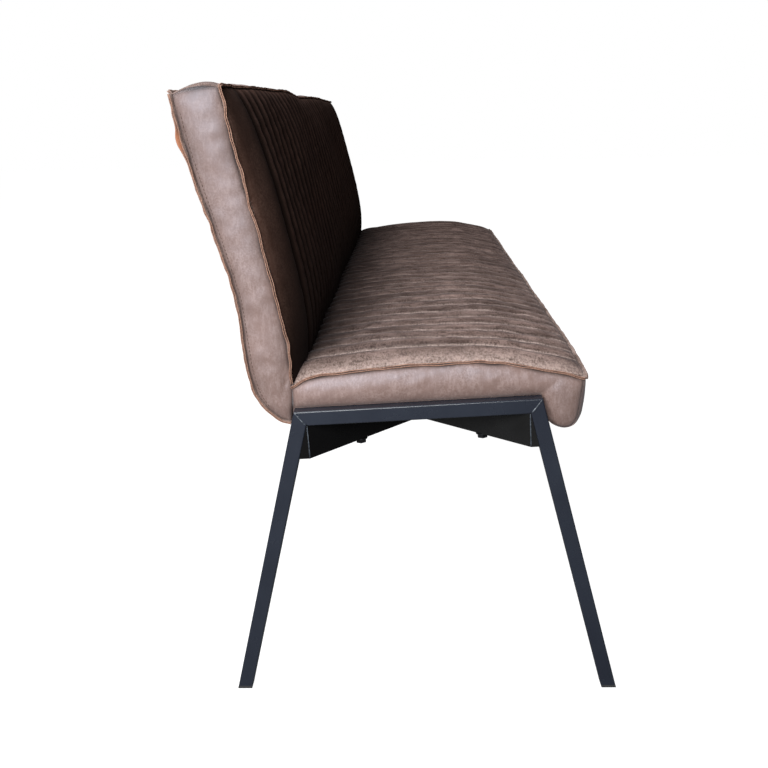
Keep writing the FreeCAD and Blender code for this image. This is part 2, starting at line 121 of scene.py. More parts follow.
def curve_through(points, count):
    """Points spaced evenly along a smooth curve through the given ones.

    Between two given points the curve is the cubic whose slope at each of them is the slope
    between its neighbours, measured along the chords.
    """
    points = np.asarray(points, float)
    span = np.linalg.norm(np.diff(points, axis=0), axis=1)
    knots = np.concatenate([[0.0], np.cumsum(span)])
    slopes = np.gradient(points, knots, axis=0)
    fine = np.linspace(0.0, knots[-1], CURVE_STEPS * len(points))
    i = np.clip(np.searchsorted(knots, fine, side="right") - 1, 0, len(span) - 1)
    h = span[i][:, None]
    t = (fine - knots[i])[:, None] / h
    curve = (points[i] * (2 * t**3 - 3 * t**2 + 1) + slopes[i] * h * (t**3 - 2 * t**2 + t)
             + points[i + 1] * (3 * t**2 - 2 * t**3) + slopes[i + 1] * h * (t**3 - t**2))
    return evenly(curve, count)


def evenly(curve, count):
    """The same curve as count points at equal distances along it."""
    steps = np.linalg.norm(np.diff(curve, axis=0), axis=1)
    length = np.concatenate([[0.0], np.cumsum(steps)])
    want = np.linspace(0.0, length[-1], count)
    return np.stack([np.interp(want, length, curve[:, k]) for k in range(curve.shape[1])], axis=1)


print("an arch of three points, as five:", curve_through([(0, 0), (1, 1), (2, 0)], 5).round(2).tolist())


# %% Noise, humps and ramps
def ripple(a, b, size, seed, waves=9):
    """Smooth noise near -1 to 1: waves of about one size, with random directions and phases, added up."""
    rng = np.random.default_rng(seed)
    turns = rng.uniform(0, 2 * math.pi, waves)
    phases = rng.uniform(0, 2 * math.pi, waves)
    sizes = size * rng.uniform(0.7, 1.5, waves)
    total = np.zeros(np.broadcast(a, b).shape)
    for turn, phase, length in zip(turns, phases, sizes):
        total += np.sin(2 * math.pi / length * (a * math.cos(turn) + b * math.sin(turn)) + phase)
    return total / math.sqrt(waves)


def wander(t, size, seed):
    """The same noise along a line."""
    return ripple(t, 0.0 * t, size, seed)


def bell(distance, width):
    """A hump: 1 at no distance, dying away as exp(-(distance / width)^2)."""
    return np.exp(-((distance / width) ** 2))


def ramp(value, start, reach):
    """0 up to start, then a straight rise to 1 over reach."""
    return np.clip((value - start) / reach, 0, 1)


def unit(vectors):
    """The same directions at length 1."""
    return vectors / np.linalg.norm(vectors, axis=-1, keepdims=True)


print("a hump at half its width:", round(float(bell(0.5, 1.0)), 3))


# %% Meshes from grids
def quads_of(index):
    """The faces between neighbouring rows and columns of an index grid."""
    corners = [index[:-1, :-1], index[1:, :-1], index[1:, 1:], index[:-1, 1:]]
    return np.stack(corners, axis=-1).reshape(-1, 4)


def grid_piece(name, grid, outward, attributes=None):
    """A mesh object from a grid of points; faces are turned so that their mean normal follows outward."""
    quads = quads_of(np.arange(grid.shape[0] * grid.shape[1]).reshape(grid.shape[:2]))
    flat = grid.reshape(-1, 3)
    normals = np.cross(flat[quads[:, 2]] - flat[quads[:, 0]], flat[quads[:, 3]] - flat[quads[:, 1]])
    if normals.sum(axis=0) @ np.asarray(outward, float) < 0:
        quads = quads[:, ::-1]
    return mesh_piece(name, flat, quads, attributes)


def tube_piece(name, grid, attributes=None):
    """A closed tube: each row of the grid is a ring, and the first and last rings are capped.

    The volume added up over the faces says which way they are turned.
    """
    index = np.arange(grid.shape[0] * grid.shape[1]).reshape(grid.shape[:2])
    quads = quads_of(np.concatenate([index, index[:, :1]], axis=1))
    flat = grid.reshape(-1, 3)
    from_middle = flat - flat.mean(axis=0)
    a, b, c, d = (from_middle[quads[:, k]] for k in range(4))
    volume = (np.cross(a, b) * c + np.cross(a, c) * d).sum()
    faces = quads.tolist() + [index[0].tolist(), index[-1, ::-1].tolist()]
    if volume <= 0:
        faces = [face[::-1] for face in faces]
    return mesh_piece(name, flat, faces, attributes)


def mesh_piece(name, points, faces, attributes=None):
    """A smooth mesh object, with one number per point for every attribute."""
    mesh = bpy.data.meshes.new(name)
    mesh.from_pydata(points.tolist(), [], [list(face) for face in faces])
    for key, values in (attributes or {}).items():
        layer = mesh.attributes.new(key, "FLOAT", "POINT")
        layer.data.foreach_set("value", np.ascontiguousarray(values, dtype=np.float32).ravel())
    mesh.polygons.foreach_set("use_smooth", np.ones(len(mesh.polygons), dtype=bool))
    mesh.update()
    piece = bpy.data.objects.new(name, mesh)
    bpy.context.scene.collection.objects.link(piece)
    return piece


# %% Placing and dressing a piece
HIDE, QUILT = 0.002, 0.008       # thickness of plain leather, and of leather sewn to its wadding


def in_frame(y_z):
    """Side-plane points, measured from the middle of the feet, in the model's frame."""
    return np.asarray(y_z, float) + np.array([feet_middle_y, 0.0])


def thick(piece, thickness):
    """Gives a cover its thickness, inwards."""
    solid = piece.modifiers.new("leather", "SOLIDIFY")
    solid.thickness = thickness
    solid.offset = -1.0
    return piece


def dress(piece, material, slot, *replaced):
    """Rides a piece on the bench, gives it its finish and hides the frame nodes that it stands for."""
    piece.data.materials.append(material)
    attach(piece, "root")
    if replaced:
        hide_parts(*replaced)
    return piece


print("plain hide", HIDE * 1000, "mm, quilted hide", QUILT * 1000, "mm")

# %% [markdown]
# ## Finishes
# A picture of leather or steel could be wrapped round the pieces, but it would stretch over the bends and
# show where it repeats. So each finish is a small network of nodes instead: places on the piece go into
# clouds of noise, the clouds choose between colours, and one shader takes the result. These few
# functions add the nodes.

# %% Node helpers
def new_finish(name, roughness, metallic=0.0, specular=0.5, sheen=0.0, sheen_tint=(1, 1, 1)):
    """A material with one shader; what is the same all over is set on the shader itself."""
    material = bpy.data.materials.new(name)
    material.use_nodes = True
    tree = material.node_tree
    tree.nodes.clear()
    out = tree.nodes.new("ShaderNodeOutputMaterial")
    shader = tree.nodes.new("ShaderNodeBsdfPrincipled")
    tree.links.new(shader.outputs["BSDF"], out.inputs["Surface"])
    shader.inputs["Roughness"].default_value = roughness
    shader.inputs["Metallic"].default_value = metallic
    shader.inputs["Specular IOR Level"].default_value = specular
    shader.inputs["Sheen Weight"].default_value = sheen
    shader.inputs["Sheen Roughness"].default_value = 0.45
    shader.inputs["Sheen Tint"].default_value = (*sheen_tint, 1.0)
    return material, tree, shader


def coords(tree, scale=(1.0, 1.0, 1.0)):
    """Places on the piece in metres; a scale under 1 draws a pattern out along that axis."""
    where = tree.nodes.new("ShaderNodeTexCoord")
    mapping = tree.nodes.new("ShaderNodeMapping")
    mapping.inputs["Scale"].default_value = scale
    tree.links.new(where.outputs["Object"], mapping.inputs["Vector"])
    return mapping.outputs["Vector"]


def noise(tree, vector, size, detail=4.0, rough=0.55):
    """Clouds about one size across, in metres."""
    node = tree.nodes.new("ShaderNodeTexNoise")
    node.inputs["Scale"].default_value = 1.0 / size
    node.inputs["Detail"].default_value = detail
    node.inputs["Roughness"].default_value = rough
    tree.links.new(vector, node.inputs["Vector"])
    return node.outputs["Fac"]


def cells(tree, vector, size, feature="DISTANCE_TO_EDGE"):
    """Pebbles about one size across, as the distance from their edge or, with F1, from their middle."""
    node = tree.nodes.new("ShaderNodeTexVoronoi")
    node.feature = feature
    node.inputs["Scale"].default_value = 1.0 / size
    tree.links.new(vector, node.inputs["Vector"])
    return node.outputs["Distance"]


def ranged(tree, value, low, high, to_low=0.0, to_high=1.0):
    """A value from low to high, stretched to run from to_low to to_high and held there."""
    node = tree.nodes.new("ShaderNodeMapRange")
    for key, number in zip(("From Min", "From Max", "To Min", "To Max"), (low, high, to_low, to_high)):
        node.inputs[key].default_value = number
    tree.links.new(value, node.inputs["Value"])
    return node.outputs["Result"]


def maths(tree, operation, a, b):
    """A sum or product of two values, each a number or another node's result."""
    node = tree.nodes.new("ShaderNodeMath")
    node.operation = operation
    for socket, value in zip(node.inputs, (a, b)):
        if isinstance(value, (int, float)):
            socket.default_value = value
        else:
            tree.links.new(value, socket)
    return node.outputs["Value"]


def mixed(tree, factor, a, b):
    """One colour fading into another."""
    node = tree.nodes.new("ShaderNodeMix")
    node.data_type = "RGBA"
    tree.links.new(factor, node.inputs["Factor"])
    for socket, value in ((node.inputs[6], a), (node.inputs[7], b)):
        if isinstance(value, tuple):
            socket.default_value = (*value, 1.0)
        else:
            tree.links.new(value, socket)
    return node.outputs[2]


def attribute(tree, name):
    """The number that a surface wrote at each of its points, 0 where it wrote none."""
    node = tree.nodes.new("ShaderNodeAttribute")
    node.attribute_name = name
    return node.outputs["Fac"]


def bump(tree, shader, height, depth, strength=1.0, below=None):
    """A bump of a depth in metres, laid over another."""
    node = tree.nodes.new("ShaderNodeBump")
    node.inputs["Distance"].default_value = depth
    node.inputs["Strength"].default_value = strength
    tree.links.new(height, node.inputs["Height"])
    if below is not None:
        tree.links.new(below, node.inputs["Normal"])
    tree.links.new(node.outputs["Normal"], shader.inputs["Normal"])
    return node.outputs["Normal"]


print("node helpers ready")

# %% [markdown]
# ## Leather
# Waxed, tumbled leather is not one colour: it is a dark red-brown under a paler, dusty bloom that rubs
# through in cloudy patches and along every ridge. One flat colour would look like plastic, so the colour is
# layers of noise over a base, drawn out along the way each hide was pulled. Two attributes that the surfaces
# below write steer it: seam is a pale line, worn beside a row of stitches and a painted highlight along the
# seat's ends; the other turns the colour near-black, mostly as painted shade in valleys, beside seams and
# under the back, and partly as dark wax in streaks. The back's front has the same hide with darker colours,
# as painted shade. Pebble grain and creases are bump only, because they are under a millimetre deep.

# %% Leather of the ends, the seat and the back
# The near-black is dark wax and painted shade; the pale line is wear and a painted highlight.
DARK_WAX_AND_SHADE = (0.007, 0.004, 0.003)
PALE_WEAR_AND_HIGHLIGHT = (0.40, 0.32, 0.285)
COOL_GLEAM = (0.82, 0.95, 1.15)  # wax throws back a little more blue than red


def bench_leather(name, stretch, scuff_stretch, fleck, strengths, deep, middle, bloom, shine, crease):
    """Dark red-brown hide under a pale bloom, rubbed through in patches, fine scuffs and along the seams.

    The colour fades from deep to middle by broad clouds, then to bloom by patches, scuffs and rubs, then to
    near-black, which is dark wax and painted shade, and to a pale line by seam, which is wear and a painted
    highlight. stretch, scuff_stretch and fleck draw the three out along the way the hide was pulled, and
    strengths are theirs in turn. shine is how much the wax gleams, crease how strong its folds are.
    """
    patches, scuffing, rubs = strengths
    material, tree, shader = new_finish(name, 0.5, specular=0.4 * shine, sheen=0.12 * shine,
                                        sheen_tint=(0.95, 0.9, 0.95))
    shader.inputs["Specular Tint"].default_value = (*COOL_GLEAM, 1.0)
    where = coords(tree)
    drawn = coords(tree, stretch)
    clouds = noise(tree, where, 0.09, 4.0, 0.6)
    blotch = noise(tree, drawn, 0.012, 6.0, 0.75)
    speck = noise(tree, coords(tree, fleck), 0.0024, 4.0, 0.7)
    uneven = ranged(tree, noise(tree, drawn, 0.045, 3.0, 0.6), 0.40, 0.60, 0.30, 1.0)
    cloudy = mixed(tree, ranged(tree, clouds, 0.3, 0.7), deep, middle)
    patch = maths(tree, "MULTIPLY", uneven, ranged(tree, blotch, 0.45, 0.62, 0.0, patches))
    patchy = mixed(tree, patch, cloudy, bloom)
    scuffs = noise(tree, coords(tree, scuff_stretch), 0.0040, 4.0, 0.65)
    scuffed = mixed(tree, ranged(tree, scuffs, 0.51, 0.59, 0.0, scuffing), patchy, bloom)
    rub = maths(tree, "MULTIPLY", uneven, ranged(tree, speck, 0.44, 0.59, 0.0, rubs))
    specky = mixed(tree, rub, scuffed, bloom)
    # Painted highlight and wear make the pale line; painted shade and dark wax make the near-black.
    paleness = maths(tree, "MULTIPLY", attribute(tree, "seam"), ranged(tree, speck, 0.35, 0.6, 0.1, 0.9))
    waxed_and_shaded = mixed(tree, attribute(tree, "dark_wax_and_painted_shade"), specky, DARK_WAX_AND_SHADE)
    tree.links.new(mixed(tree, paleness, waxed_and_shaded, PALE_WEAR_AND_HIGHLIGHT), shader.inputs["Base Color"])
    smooth = 0.54 - 0.07 * shine
    tree.links.new(ranged(tree, blotch, 0.3, 0.75, smooth, smooth + 0.10), shader.inputs["Roughness"])
    creases = bump(tree, shader, noise(tree, drawn, 0.010, 6.0, 0.7), 0.0009, crease)
    bump(tree, shader, cells(tree, where, 0.0016), 0.0002, 0.5, creases)
    return material


leather = bench_leather(
    "bench_leather", stretch=(1.0, 1.0, 0.6), scuff_stretch=(1.0, 1.0, 0.3), fleck=(1.0, 1.0, 1.0),
    strengths=(0.14, 0.20, 0.32), deep=(0.132, 0.080, 0.064), middle=(0.177, 0.114, 0.097),
    bloom=(0.310, 0.231, 0.211), shine=1.1, crease=0.2)
seat_leather = bench_leather(
    "seat_leather", stretch=(0.8, 0.45, 1.0), scuff_stretch=(1.0, 0.22, 1.0), fleck=(0.45, 0.90, 1.0),
    strengths=(0.85, 0.36, 0.74), deep=(0.047, 0.026, 0.019), middle=(0.074, 0.043, 0.033),
    bloom=(0.282, 0.196, 0.171), shine=0.35, crease=0.4)
# The back's hide is the same leather made darker, as painted shade: its front lies in deep shade.
back_leather_painted_shade = bench_leather(
    "back_leather_painted_shade", stretch=(1.0, 1.0, 0.4), scuff_stretch=(1.0, 1.0, 0.08), fleck=(0.7, 1.0, 1.0),
    strengths=(0.3, 0.2, 0.7), deep=(0.049, 0.023, 0.016), middle=(0.075, 0.038, 0.028),
    bloom=(0.134, 0.078, 0.060), shine=0.06, crease=0.2)
print("hides:", leather.name, seat_leather.name, back_leather_painted_shade.name)

# %% [markdown]
# ## Raw edge and thread
# Where a hide is cut, its rust-coloured fibre shows, and its reverse is suede. A strip could have a material
# for each of its sides, but then the colours would meet in hard lines. So one material fades between them by
# two attributes: edge is 1 at the cut, reverse is 1 on the suede. The thread is waxed, and nearly as dark as
# the hide.

# %% Raw edge and thread
def raw_leather_edge():
    """Rust-coloured fibre at the cut, the grain's own colour at the root, suede on the reverse."""
    material, tree, shader = new_finish("raw_leather_edge", 0.8, specular=0.2)
    where = coords(tree)
    fibre = noise(tree, where, 0.0022, 5.0, 0.7)
    rust = mixed(tree, ranged(tree, fibre, 0.3, 0.7), (0.115, 0.056, 0.039), (0.34, 0.195, 0.140))
    grain = mixed(tree, ranged(tree, noise(tree, where, 0.02), 0.35, 0.65), (0.10, 0.068, 0.058),
                  (0.24, 0.18, 0.16))
    cut = mixed(tree, attribute(tree, "edge"), grain, rust)
    suede = mixed(tree, fibre, (0.20, 0.070, 0.036), (0.36, 0.16, 0.088))
    tree.links.new(mixed(tree, attribute(tree, "reverse"), cut, suede), shader.inputs["Base Color"])
    bump(tree, shader, fibre, 0.0005, 0.8)
    return material


def waxed_thread():
    """Dark twisted thread."""
    material, tree, shader = new_finish("waxed_thread", 0.6, specular=0.3)
    where = coords(tree)
    strand = noise(tree, where, 0.003, 3.0)
    tree.links.new(mixed(tree, strand, (0.030, 0.017, 0.013), (0.12, 0.078, 0.062)),
                   shader.inputs["Base Color"])
    bump(tree, shader, noise(tree, where, 0.0006, 2.0), 0.0002, 0.5)
    return material


raw_edge, thread = raw_leather_edge(), waxed_thread()
print("sewing finishes:", raw_edge.name, thread.name)

# %% [markdown]
# ## Steel
# The tubes have a satin, blue-black powder coat. The braces under the seat are given blacker coats as
# painted shade, the rear ones the blackest. A plain glossy black could pass for it from far away, but baked
# powder is not quite even: it has faint clouds, a changing gloss and a fine orange peel, and noise gives all
# three. Welds are coated over as well; their paler colour is a painted highlight on their ripples. The bolts
# are plated in black zinc and the hidden fasteners in bright zinc, which are metals, so their colour is that
# of the reflection.

# %% Coated, welded and plated steel
def powder_coat(name, dark, pale, specular):
    """Satin coating, clouded a little, with the fine orange peel of baked powder."""
    material, tree, shader = new_finish(name, 0.32, specular=specular)
    where = coords(tree)
    cast = noise(tree, where, 0.09, 3.0)
    tree.links.new(mixed(tree, ranged(tree, cast, 0.3, 0.7), dark, pale), shader.inputs["Base Color"])
    gloss = ranged(tree, noise(tree, where, 0.03, 4.0), 0.3, 0.7, 0.20, 0.30)
    tree.links.new(gloss, shader.inputs["Roughness"])
    bump(tree, shader, noise(tree, where, 0.0014, 2.0), 0.00012, 0.35)
    return material


def weld_metal():
    """The coated bead of a weld, painted a little paler than the tube as a highlight on its ripples."""
    material, tree, shader = new_finish("weld_metal", 0.34, specular=0.6)
    where = coords(tree)
    scale = noise(tree, where, 0.004, 4.0)
    tree.links.new(mixed(tree, ranged(tree, scale, 0.35, 0.7), (0.020, 0.024, 0.032), (0.075, 0.085, 0.10)),
                   shader.inputs["Base Color"])
    bump(tree, shader, scale, 0.0006, 0.6)
    return material


def plated_steel(name, dark, pale):
    """Zinc over steel, bright or passivated black, clouded by handling."""
    material, tree, shader = new_finish(name, 0.35, metallic=1.0)
    where = coords(tree)
    tree.links.new(mixed(tree, noise(tree, where, 0.006), dark, pale), shader.inputs["Base Color"])
    gloss = ranged(tree, noise(tree, where, 0.002, 3.0), 0.3, 0.7, 0.25, 0.5)
    tree.links.new(gloss, shader.inputs["Roughness"])
    return material


steel = powder_coat("blue_black_coat", (0.0108, 0.0130, 0.0200), (0.0146, 0.0178, 0.0262), 0.36)
# The two brace coats are darker than the tubes' as painted shade under the seat, the rear one the darker.
brace_painted_shade_steel = powder_coat("black_coat", (0.0060, 0.0058, 0.0058), (0.0085, 0.0083, 0.0084), 0.25)
rear_brace_painted_shade_steel = powder_coat("deep_black_coat", (0.0022, 0.0021, 0.0022), (0.0034, 0.0033, 0.0034), 0.12)
weld = weld_metal()
zinc = plated_steel("bright_zinc", (0.42, 0.42, 0.43), (0.66, 0.65, 0.62))
black_zinc = plated_steel("black_zinc", (0.02, 0.02, 0.022), (0.06, 0.06, 0.065))
print("steel finishes:", steel.name, brace_painted_shade_steel.name, rear_brace_painted_shade_steel.name, zinc.name, black_zinc.name)

# %% [markdown]
# ## Plastic, timber and lining
# The glides are moulded black plastic, the boards birch plywood and beech, the lining a black spun cloth.
# They could have rings, knots and woven threads, but none of them shows much. So each has some noise and a
# bump: timber draws its noise out along the bench for grain, and the cloth has the small dots of its bonding.

# %% Plastic, timber and cloth
def moulded_plastic():
    """Black plastic with a fine mould texture."""
    material, tree, shader = new_finish("moulded_plastic", 0.55, specular=0.4)
    where = coords(tree)
    tree.links.new(mixed(tree, noise(tree, where, 0.01), (0.015, 0.015, 0.016), (0.035, 0.035, 0.036)),
                   shader.inputs["Base Color"])
    bump(tree, shader, noise(tree, where, 0.0007, 2.0), 0.0001, 0.5)
    return material


def timber(name, pale, dark, stretch):
    """Wood whose grain is noise drawn out along the bench."""
    material, tree, shader = new_finish(name, 0.6, specular=0.3)
    where = coords(tree, stretch)
    grain = noise(tree, where, 0.01, 6.0, 0.6)
    tree.links.new(mixed(tree, ranged(tree, grain, 0.3, 0.7), dark, pale), shader.inputs["Base Color"])
    bump(tree, shader, grain, 0.0003, 0.4)
    return material


def spun_cloth():
    """Black lining cloth: pressed fibres with the small dots of their bonding."""
    material, tree, shader = new_finish("spun_cloth", 0.9, specular=0.15, sheen=0.3)
    where = coords(tree)
    dots = cells(tree, where, 0.0022, "F1")
    fibre = noise(tree, coords(tree, (1.0, 3.0, 1.0)), 0.004, 5.0, 0.7)
    tree.links.new(mixed(tree, ranged(tree, fibre, 0.3, 0.7), (0.012, 0.012, 0.013), (0.04, 0.04, 0.042)),
                   shader.inputs["Base Color"])
    bump(tree, shader, dots, 0.0003, 0.6)
    return material


plastic = moulded_plastic()
plywood = timber("birch_plywood", (0.62, 0.46, 0.29), (0.42, 0.28, 0.16), (0.12, 1.0, 1.0))
beech = timber("planed_beech", (0.60, 0.40, 0.25), (0.40, 0.24, 0.14), (0.08, 1.0, 1.0))
cloth = spun_cloth()
print("finishes:", len(bpy.data.materials))

# %% [markdown]
# ## Finishing the frame's own pieces
# The tubes, glides, boards and fasteners already have their real shape, so they only get a finish, which is
# chosen by the name of the piece. Modelling them again would risk moving them. The leather and foam solids
# are left for the surfaces that replace them.

# %% Finish the frame nodes
SOFT_NODES = ("seat_quilt", "back_quilt", "seat_foam", "back_foam", "seat_front_panel", "seat_left_panel",
              "seat_right_panel", "back_rear_panel", "back_left_panel", "back_right_panel", "seat_dust_cloth")


def node_finish(name):
    """The finish that a piece of the frame has on the bench."""
    if name.endswith("_glide"):
        return plastic
    # Braces and their wedges take the painted-shade coats, the rear ones the darker.
    if name.endswith(("_brace", "_wedge")):
        return rear_brace_painted_shade_steel if "_rear_" in name else brace_painted_shade_steel
    if name in ("frame_bolts", "bolt_washers"):
        return black_zinc
    if name in ("tee_nuts", "bracket_screws"):
        return zinc
    if name in ("seat_board", "back_board"):
        return plywood
    if name == "seat_batten":
        return beech
    return steel


hard_nodes = {name: node for name, node in nodes.items() if name not in SOFT_NODES}
for name, node in hard_nodes.items():
    node.data.materials.clear()
    node.data.materials.append(node_finish(name))
print("frame pieces finished:", len(hard_nodes))

# %% [markdown]
# ## Seam lines seen from the end
# Four seams draw the bench in side view: the arched seam of the seat, the lip that drops in front
# of it, and the front and rear seams of the back, which lean and bow together and close at a round heel.
# Arcs and straight lines would come close, but they look machined. Curves through measured points keep the
# slight unevenness of hand sewing.

# %% Side outlines, metres from the middle of the feet
SEAT_SEAM = [(0.1730, 0.4485), (0.150, 0.4605), (0.110, 0.4665), (0.050, 0.4735), (-0.010, 0.4775),
             (-0.068, 0.4792), (-0.110, 0.4770), (-0.157, 0.468), (-0.195, 0.4605), (-0.2120, 0.4555)]
SEAT_LIP = [(-0.2120, 0.4555), (-0.2120, 0.447), (-0.2100, 0.4345), (-0.2072, 0.4155), (-0.2048, 0.4010),
            (-0.1995, 0.3908), (-0.190, 0.3876), (-0.178, 0.3900), (-0.168, 0.3968), (-0.163, 0.4150)]
LIP_TURN = 5                     # the outline's point at which the front face has turned under
SEAT_UNDER = [(0.173, 0.4055), (0.100, 0.409), (0.000, 0.4135), (-0.090, 0.4175), (-0.140, 0.4165),
              *SEAT_LIP[-2:LIP_TURN - 1:-1]]
BACK_FRONT = [(0.1755, 0.4005), (0.1735, 0.420), (0.1720, 0.455), (0.176, 0.509), (0.188, 0.5745),
              (0.2025, 0.645), (0.2225, 0.7315), (0.2345, 0.795), (0.2415, 0.8298)]
BACK_REAR = [(0.1755, 0.4005), (0.187, 0.4040), (0.199, 0.413), (0.211, 0.427), (0.220, 0.443),
             (0.227, 0.468), (0.231, 0.503), (0.2365, 0.567), (0.2505, 0.623), (0.2815, 0.733),
             (0.2895, 0.765), (0.2965, 0.800), (0.3000, 0.822)]


def outline_normals(curve, toward):
    """Unit normals of a side outline, turned to the given side."""
    step = np.gradient(curve, axis=0)
    normals = unit(np.stack([-step[:, 1], step[:, 0]], axis=1))
    return normals * np.sign(normals @ np.asarray(toward, float))[:, None]


def ends_free(x, reach):
    """0 at the ends of a cushion, rising to 1 where x is reach or more inside."""
    return np.clip((cushion_end - np.abs(x)) / reach, 0.0, 1.0)


def swell(q):
    """A quarter of an ellipse: steep at the seam, level once q reaches 1."""
    return np.sqrt(1 - (1 - np.clip(q, 0, 1)) ** 2)


def along_bench(x, side):
    """Grid of points from x, one value or row per column, and side-plane points."""
    x = np.broadcast_to(x if x.ndim == 2 else x[:, None], side.shape[:2])
    return np.concatenate([x[..., None], side], axis=2)


print("outline points:", len(SEAT_SEAM), len(SEAT_LIP), len(BACK_FRONT), len(BACK_REAR))

# %% [markdown]
# ## Channels
# Each cushion face is one hide sewn down in parallel rows, so wadding puffs up between the rows. The
# channels could be cut with a displacement map, but then their meshes would have to be very fine everywhere.
# With q the distance from the nearest row as a share of half a channel, the height is
# depth x (1 - (1 - q)^2)^0.7: steep beside the thread and nearly flat in the middle. Grid lines
# crowd towards the rows so that the valleys stay sharp.

# %% Rows of stitches and the channels between them
CHANNEL_PITCH = 0.0435
CHANNEL_STEPS = 12
BORDER_STEPS = 30
CHANNEL_POWER = 0.7


def crowded(count):
    """Shares from 0 up to but without 1, close together at both ends."""
    return (1 - np.cos(np.pi * np.arange(count) / count)) / 2


def channel_lines(border):
    """x of every grid line along a cushion, and x of every row of stitches, which is one of them."""
    count = round((2 * cushion_end - 2 * border) / CHANNEL_PITCH)
    rows = np.linspace(-cushion_end + border, cushion_end - border, count + 1)
    inner = (rows[:-1, None] + np.diff(rows)[:, None] * crowded(CHANNEL_STEPS)).ravel()
    left = -cushion_end + border * crowded(BORDER_STEPS)
    return np.concatenate([left, inner, rows[-1:], -left[::-1]]), rows


def puff(x, rows, depth):
    """Height of the channels at x, and the distance to the nearest row."""
    nearest = np.abs(x[:, None] - rows).min(axis=1)
    q = np.clip(nearest / (CHANNEL_PITCH / 2), 0, 1)
    return depth * (1 - (1 - q) ** 2) ** CHANNEL_POWER, nearest


def pucker(gap, place, seed):
    """Short gathers beside a seam: waves along it that die out within a couple of centimetres."""
    return 0.0007 * wander(place, 0.017, seed) * np.exp(-gap / 0.010) * (1 - np.exp(-gap / 0.003))


print("channel pitch", CHANNEL_PITCH * 1000, "mm")

# %% [markdown]
# ## The seat top
# The hide is stretched over an arched foam block. It could be simulated as cloth over the foam, but sewn
# channels are tight and even, and a formula holds them so: the end seam's curve is carried along the bench
# and lifted along its own normal by the border's swell and the channels. Slow waves of a millimetre or two
# keep it from looking machined.

# %% Shape of the seat top
SEAT_BORDER = 0.0565
SEAT_ROLL = 0.085                # over which the top rolls down to its ends
SEAT_CROWN = 0.015
SEAT_CHANNEL = 0.0055
SEAT_ROWS = 110
SEAT_RUN = 0.40                  # from rear to front along the seat
FRONT_LEAN = (-0.42, 0.90)       # the way the front edge swells
FRONT_ROUND = 0.06               # over which the top rounds off to the front seam


def seat_normals(curve):
    """Normals of the arched seam that turn to FRONT_LEAN over the last fifth."""
    normals = outline_normals(curve, (0.0, 1.0))
    share = ramp(np.linspace(0, 1, len(curve)), 0.8, 0.2)[:, None]
    return unit(normals * (1 - share) + np.array(FRONT_LEAN) * share)


def seat_hold(v):
    """How hard the rows hold the hide down: fully, but not at the rear edge and little at the front."""
    return np.clip(v / 0.06, 0, 1) * np.clip((1 - v) / 0.06, 0.2, 1)


def seat_surface(x, rows):
    """Points of the seat top: seam curve(v) + normal(v) x (border swell(x) + channels(x) + waves)."""
    curve = curve_through(SEAT_SEAM, SEAT_ROWS)
    v = np.linspace(0, 1, SEAT_ROWS)[None, :]
    column, free, hold = x[:, None], ends_free(x, SEAT_ROLL)[:, None], seat_hold(v)
    height = puff(x, rows, SEAT_CHANNEL)[0]
    full = 0.45 + 0.55 * swell((1 - v) * SEAT_RUN / FRONT_ROUND)
    lift = SEAT_CROWN * full * swell(free) + (height[:, None] - SEAT_CHANNEL) * hold
    lift = lift + 0.0016 * free * ripple(column, v * SEAT_RUN, 0.30, 12)
    lift = lift + 0.0005 * free * hold * ripple(column * 0.5, v * SEAT_RUN, 0.03, 13)
    lift = lift + pucker(cushion_end - np.abs(column), v * SEAT_RUN, 15)
    side = in_frame(curve)[None, :, :] + seat_normals(curve)[None, :, :] * lift[:, :, None]
    sway = 0.0012 * free * ripple(column, v * SEAT_RUN, 0.22, 11)
    return along_bench(column + sway, side)


seat_x, seat_rows = channel_lines(SEAT_BORDER)
seat_grid = seat_surface(seat_x, seat_rows)
print("seat channels", len(seat_rows) - 1, "points", seat_grid.shape[:2])

# %% [markdown]
# ## Wear and painted light of the seat top
# Years of sitting leave a pale line beside each row. A pale band along the ends is a painted highlight where
# the rolled edge catches the light, and the valleys and the strip where the seat tucks under the back are
# painted dark as shade. This could be painted by hand. But each of these marks lies at a
# known distance from a row or an edge, so it is a hump of that distance.

# %% Wear, painted highlight and painted shade of the seat top
SEAM_WIDTH = 0.0032              # of the pale line worn beside a row of stitches
END_WIDTH, END_PAINTED_HIGHLIGHT = 0.026, 0.50   # painted highlight: a pale band along the ends, where the rolled edge catches the light
GROOVE_WIDTH, GROOVE_SHADE = 0.0100, 0.60   # painted shade in a valley
TUCK_START, TUCK_REACH, TUCK_SHADE = 0.016, 0.112, 0.97   # painted shade beside the back, from the rear edge on
TUCK_OPEN = 0.058                # near the ends the painted shade fades, where light reaches in
STREAK_LENGTH, STREAK_DARK = 0.22, 0.34


